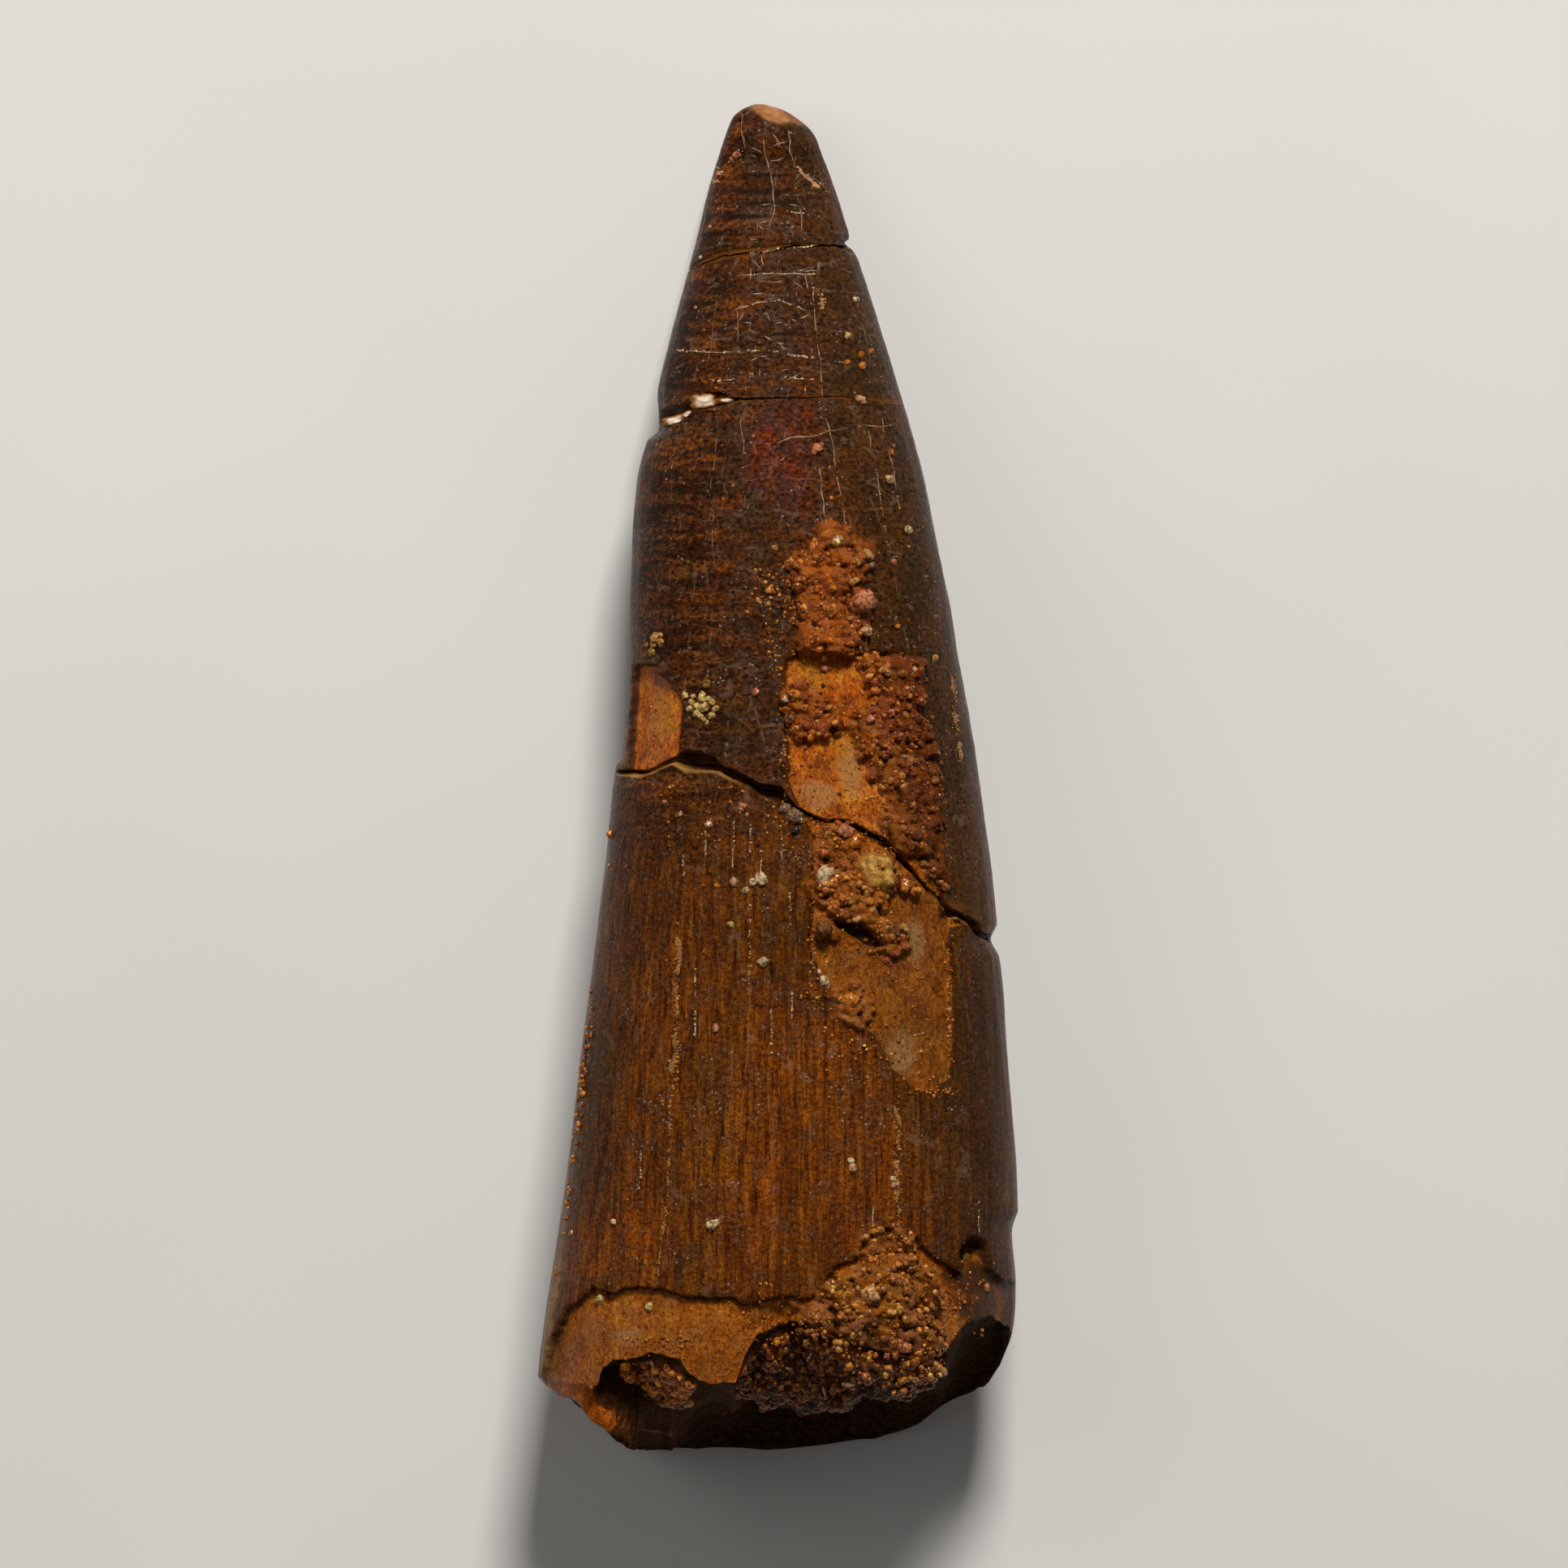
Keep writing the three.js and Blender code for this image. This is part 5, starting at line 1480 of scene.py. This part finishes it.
def enamel_colour(s):
    across = s.mask("across")
    cloud = s.noise((0.9, 0.8, 0.9), detail=5, roughness=0.65)
    # grey colour of the painted sheen
    sheen = s.ramp(s.worm, [
        (0.36, (0.02, 0.0085, 0.004)), (0.5, (0.05, 0.023, 0.011)), (0.68, (0.105, 0.056, 0.031)),
    ])
    olive = s.ramp(s.worm, [
        (0.36, (0.016, 0.0055, 0.0007)), (0.5, (0.046, 0.0165, 0.0016)), (0.68, (0.09, 0.036, 0.005)),
    ])
    upper = upper_enamel(s, across, cloud, sheen, olive)
    lower = lower_enamel(s, across, cloud, sheen, olive)
    lines = s.step(s.cells((0.62, 0.07, 0.62), "DISTANCE_TO_EDGE"), 0.03, 0.012)
    crossing = s.step(s.cells((0.12, 0.5, 0.12), "DISTANCE_TO_EDGE"), 0.03, 0.012)
    lines = s.maths("MAXIMUM", lines, s.times(crossing, s.step(s.low, 0.5, 0.2)))
    lines = s.times(lines, s.step(s.noise(1.1), 0.5, 0.6))
    flecks = s.times(s.step(s.cells((1.8, 2.3, 1.8)), 0.3, 0.17), s.step(s.low, 0.9, 0.2, 0.2, 0.85))
    # pale specks on the enamel: painted glints
    painted_glints = s.times(s.step(s.cells(3.1), 0.22, 0.14), s.step(cloud, 0.53, 0.62))
    colour = s.layers(s.mix(s.step(s.low, 0.1, 0.7), upper, lower), [
        (s.times(lines, 0.32), (0.22, 0.13, 0.08)),
        (flecks, (0.008, 0.003, 0.001)),
        (s.times(painted_glints, 0.7), (0.4, 0.3, 0.22)),
        (s.mask("amber", 0.7), (0.17, 0.055, 0.006)),
    ])
    colour = s.toned(s.mask("dull"), colour, (0.72, 0.74, 0.7))
    colour = s.toned(s.mask("golden"), colour, (1.35, 1.25, 1.1))
    # dark cracks, and painted shade with dark crust at the base's right corner
    colour = s.mix(s.mask("dark", 0.85), colour, (0.012, 0.004, 0.0015))
    return s.toned(s.mask("red", 0.55), colour, (1.55, 0.78, 1.2))


def dentine_colour(s):
    colour = s.ramp(s.patchy, [
        (0.36, (0.2, 0.04, 0.0015)), (0.45, (0.37, 0.08, 0.0025)), (0.55, (0.5, 0.125, 0.005)),
        (0.66, (0.56, 0.2, 0.018)),
    ])
    streaks = s.ramp(s.scratch, [(0.36, (0.45, 0.38, 0.3)), (0.48, WHITE), (0.64, (1.2, 1.35, 1.9))])
    cloudy = s.noise((0.5, 0.7, 0.5), detail=4, roughness=0.6)
    colour = s.layers(s.tone(colour, streaks), [
        (s.times(s.step(cloudy, 0.5, 0.62, 0, 0.6), s.low), (0.36, 0.13, 0.035)),
        (s.step(s.fibre, 0.48, 0.36, 0, 0.4), (0.18, 0.04, 0.002)),
        (s.step(s.coarse, 0.54, 0.62, 0, 0.4), (0.52, 0.2, 0.03)),
        (s.mask("yellow", 0.7), (0.45, 0.19, 0.012)),
        (s.times(s.mask("pale"), s.step(s.fibre, 0.35, 0.6, 0.2, 0.8)), (0.48, 0.2, 0.035)),
        (s.times(s.low, s.step(s.fibre, 0.4, 0.65, 0.2, 0.6)), (0.25, 0.078, 0.006)),
    ])
    colour = s.toned(s.mask("dull"), colour, (0.64, 0.66, 0.5))
    colour = s.mix(s.step(s.cells(2.6), 0.15, 0.1, 0, 0.85), colour, (0.015, 0.006, 0.002))
    colour = s.tone(colour, s.ramp(s.noise((5, 4, 5)), [
        (0.36, (0.6, 0.52, 0.42)), (0.48, (1, 0.98, 0.94)), (0.62, (1.22, 1.3, 1.5)),
    ]))
    scuffed = s.times(s.mask("pale"), s.step(s.scratch, 0.4, 0.56, 0.1, 0.75))
    colour = s.toned(s.high, s.mix(scuffed, colour, (0.37, 0.2, 0.09)), (0.98, 0.86, 0.7))
    return s.layers(colour, [
        # painted shade with dark crust at the base's right corner
        (s.mask("dark", 0.8), (0.035, 0.013, 0.002)),
        # painted glints on the dentine
        (s.times(s.painted_glint, s.step(s.low, 0.98, 0.86, 0, 1)), (0.75, 0.5, 0.2)),
    ])


def crust_colour(s):
    colour = s.ramp(s.mask("granule"), [
        (0.2, (0.12, 0.03, 0.003)), (0.38, (0.27, 0.07, 0.005)), (0.52, (0.4, 0.12, 0.01)),
        (0.66, (0.36, 0.09, 0.018)), (0.82, (0.5, 0.22, 0.04)),
    ])
    colour = s.layers(colour, [
        (s.step(s.coarse, 0.42, 0.6, 0, 0.5), (0.3, 0.085, 0.006)),
        (s.step(s.patchy, 0.52, 0.6, 0, 0.55), (0.42, 0.15, 0.065)),
        (s.step(s.patchy, 0.46, 0.38, 0, 0.5), (0.46, 0.19, 0.02)),
        # painted shade in the crevices between grains
        (s.step(s.mask("dome"), 0.8, 0.25, 0, 0.85), (0.03, 0.008, 0.0015)),
        (s.mask("red", 0.5), (0.26, 0.055, 0.025)),
        (s.mask("amber", 0.6), (0.5, 0.15, 0.008)),
        # painted shade over the crusts of the base and the broken end
        (s.mask("dirt", 0.75), (0.035, 0.012, 0.003)),
    ])
    # crusts on the right flank are painted darker as shade
    shaded = s.times(s.step(s.mask("across"), 0.35, 0.7), s.step(s.low, 0.95, 0.7))
    colour = s.toned(shaded, colour, (0.55, 0.5, 0.5))
    colour = s.toned(s.high, colour, (0.84, 0.66, 0.55))
    # painted glints on the crusts
    return s.mix(s.painted_glint, colour, (0.7, 0.48, 0.27))


def tooth_material(name, gloss):
    s = ToothShader(name)
    lost, inner, crust = s.mask("lost"), s.mask("inner"), s.mask("crust")
    edge = s.times(lost, s.maths("SUBTRACT", 1.0, lost))
    colour = s.layers(enamel_colour(s), [
        (lost, dentine_colour(s)),
        # dark line along the enamel's broken edge: painted ledge shadow, partly the edge's own dark brown
        (s.step(edge, 0.08, 0.22, 0, 0.8), (0.03, 0.009, 0.002)),
        (s.mask("lip"), s.ramp(s.fibre, [(0.3, (0.08, 0.024, 0.003)), (0.7, (0.17, 0.055, 0.008))])),
        # deep chipped lips: painted shade, darker the deeper they drop
        (s.mask("deep"), s.ramp(s.fibre, [(0.3, (0.02, 0.006, 0.001)), (0.7, (0.09, 0.026, 0.004))])),
        # painted shadow in the hollow under the crust's edge
        (s.mask("hollow"), (0.04, 0.012, 0.003)),
        (s.mask("rim"), s.ramp(s.patchy, [(0.36, (0.26, 0.1, 0.015)), (0.64, (0.46, 0.24, 0.07))])),
        # broken faces: dark dentine, darkened further as painted shade
        (inner, s.ramp(s.coarse, [
            (0.38, (0.014, 0.005, 0.0015)), (0.5, (0.036, 0.013, 0.003)), (0.62, (0.08, 0.03, 0.006)),
        ])),
        (crust, crust_colour(s)),
        (s.mask("chunk"), s.ramp(s.coarse, [
            (0.36, (0.3, 0.12, 0.012)), (0.5, (0.5, 0.25, 0.045)), (0.62, (0.6, 0.36, 0.1)),
        ])),
        (s.mask("worn"), s.ramp(s.patchy, [
            (0.36, (0.18, 0.07, 0.025)), (0.52, (0.34, 0.13, 0.04)), (0.66, (0.48, 0.24, 0.1)),
        ])),
    ])

    bare = s.maths("MAXIMUM", crust, lost)
    rugged = s.maths("MAXIMUM", crust, inner)
    roughness = s.step(s.coarse, 0.35, 0.65, 0.3, s.step(bare, 0, 1, 0.18, 0.1))
    roughness = s.maths("MAXIMUM", roughness, s.times(inner, 0.7))
    normal = s.bump(s.grain, s.step(s.low, 0.2, 0.8, 0.1, 1), 0.2)
    normal = s.bump(s.worm, 0.9, 0.16, normal)
    normal = s.bump(s.coarse, s.maths("ADD", 0.2, s.times(rugged, 0.6)), 0.25, normal)
    normal = s.bump(s.scratch, s.times(lost, 0.8), 0.12, normal)
    normal = s.bump(s.noise(9, detail=2), s.times(bare, 0.7), 0.035, normal)
    return s.finish(Base_Color=colour, Roughness=roughness, Normal=normal, Specular_IOR_Level=gloss)


def grain_material():
    s = Shader("sand_grains")
    spots = s.noise(4, detail=4)
    shades = s.ramp(spots, [
        (0.38, (0.32, 0.22, 0.13)), (0.5, (1.02, 0.93, 0.72)), (0.64, (1.35, 1.4, 1.2)),
    ])
    # bright specks: painted glints on the grains
    colour = s.mix(s.step(s.cells(4.5), 0.15, 0.09, 0, 0.8), s.tone(s.tint(), shades), (0.8, 0.52, 0.25))
    roughness = s.step(spots, 0.4, 0.6, 0.2, 0.07)
    normal = s.bump(s.noise(5, detail=2), 0.4, 0.08)
    return s.finish(Base_Color=colour, Roughness=roughness, Normal=normal, Specular_IOR_Level=0.34)


def thread_material():
    s = Shader("thread_fill")
    normal = s.bump(s.noise(12), 0.8, 0.04)
    colour = s.mix(s.step(s.noise(5), 0.4, 0.6, 0, 0.5), s.tint(), (0.1, 0.04, 0.012))
    return s.finish(Base_Color=colour, Roughness=0.4, Normal=normal, Specular_IOR_Level=0.4)


def filler_material():
    s = Shader("filler_white")
    shades = s.ramp(s.noise(3), [(0.35, (0.76, 0.66, 0.5)), (0.5, WHITE), (0.7, (1.08, 1.14, 1.22))])
    normal = s.bump(s.noise(7), 0.5, 0.03)
    colour = s.tone(s.tint(), shades)
    return s.finish(Base_Color=colour, Roughness=0.45, Normal=normal, Specular_IOR_Level=0.4)


# Stage

PHOTO_WIDTH = 92.74  # what the picture's side measures at the middle of the tooth
PHOTO_CENTRE = (0.34, -0.41)
CAMERA_HEIGHT = 2000  # above the middle of the tooth
MIDDLE_HEIGHT = 10
FLOOR_HEIGHT = -0.1
FLOOR_HALF = 2000
LIGHTS = [("key", (90, 520, 560), 170, 5.9), ("fill", (-450, 150, 500), 400, 0.5)]  # place, size and watts


def make_floor():
    mesh = bpy.data.meshes.new("floor")
    signs = ((-1, -1), (1, -1), (1, 1), (-1, 1))
    corners = np.array([(x * FLOOR_HALF, y * FLOOR_HALF, FLOOR_HEIGHT) for x, y in signs])
    mesh.from_pydata((corners * MM).tolist(), [], [(0, 1, 2, 3)])
    floor = bpy.data.objects.new("floor", mesh)
    bpy.context.scene.collection.objects.link(floor)
    s = Shader("floor")
    faint = s.ramp(s.noise(0.02, detail=2), [(0.3, (0.74, 0.73, 0.71)), (0.7, (0.78, 0.77, 0.75))])
    mesh.materials.append(s.finish(Base_Color=faint, Roughness=0.75))


def area_light(name, place, size, watts):
    light = bpy.data.lights.new(name, "AREA")
    light.size = size * MM
    light.energy = watts
    light.color = (1, 0.97, 0.93)
    lamp = bpy.data.objects.new(name, light)
    lamp.location = Vector(place) * MM
    aim = Vector((0, 0, MIDDLE_HEIGHT)) * MM - lamp.location
    lamp.rotation_euler = aim.to_track_quat("-Z", "Y").to_euler()
    bpy.context.scene.collection.objects.link(lamp)


def make_stage():
    make_floor()
    for light in LIGHTS:
        area_light(*light)
    world = bpy.data.worlds.new("studio")
    world.use_nodes = True
    background = world.node_tree.nodes["Background"]
    background.inputs["Color"].default_value = (1, 0.98, 0.96, 1)
    background.inputs["Strength"].default_value = 0.1
    bpy.context.scene.world = world
    camera = bpy.data.cameras.new("camera")
    camera.lens = camera.sensor_width * CAMERA_HEIGHT / PHOTO_WIDTH
    camera.clip_end = 10
    view = bpy.data.objects.new("camera", camera)
    view.location = Vector((*PHOTO_CENTRE, MIDDLE_HEIGHT + CAMERA_HEIGHT)) * MM
    bpy.context.scene.collection.objects.link(view)
    bpy.context.scene.camera = view
    bpy.context.scene.view_settings.view_transform = "Standard"


# The tooth

def make_tooth():
    tip_end = {"surface": very_tip, "start": 39, "rings": worn_rings}
    base_end = {"surface": broken_end, "start": -36, "rings": hollow_rings}
    first, second, third = ((break_end(break_, -1), break_end(break_, 1)) for break_ in BREAKS)
    parts = [  # name, node, slot, lower and upper end, columns on the face and back, distance between rows
        ("tip", "tip_fragment", "upper_enamel", first[1], tip_end, (110, 40), 0.11),
        ("upper", "upper_fragment", "upper_enamel", second[1], first[0], (160, 44), 0.13),
        ("middle", "middle_fragment", "upper_enamel", third[1], second[0], (230, 50), 0.14),
        ("base", "base_fragment", "lower_enamel", base_end, third[0], (260, 50), 0.155),
    ]
    pieces, edges = zip(*(fragment(*part) for part in parts))
    enamel, bare = tooth_material("tooth_enamel", 0.045), tooth_material("tooth_bare", 0.1)
    for piece in (*pieces, make_cavity_sand(edges[-1])):
        piece.data.materials.append(enamel)
        piece.data.materials.append(bare)
    sandy = grain_material()
    for piece in (crust_grains(), end_grains(), splinters(), crumbs(), single_granules(), thread_crumbs()):
        piece.data.materials.append(sandy)
    threads().data.materials.append(thread_material())
    filler_blobs().data.materials.append(filler_material())


make_tooth()
make_stage()
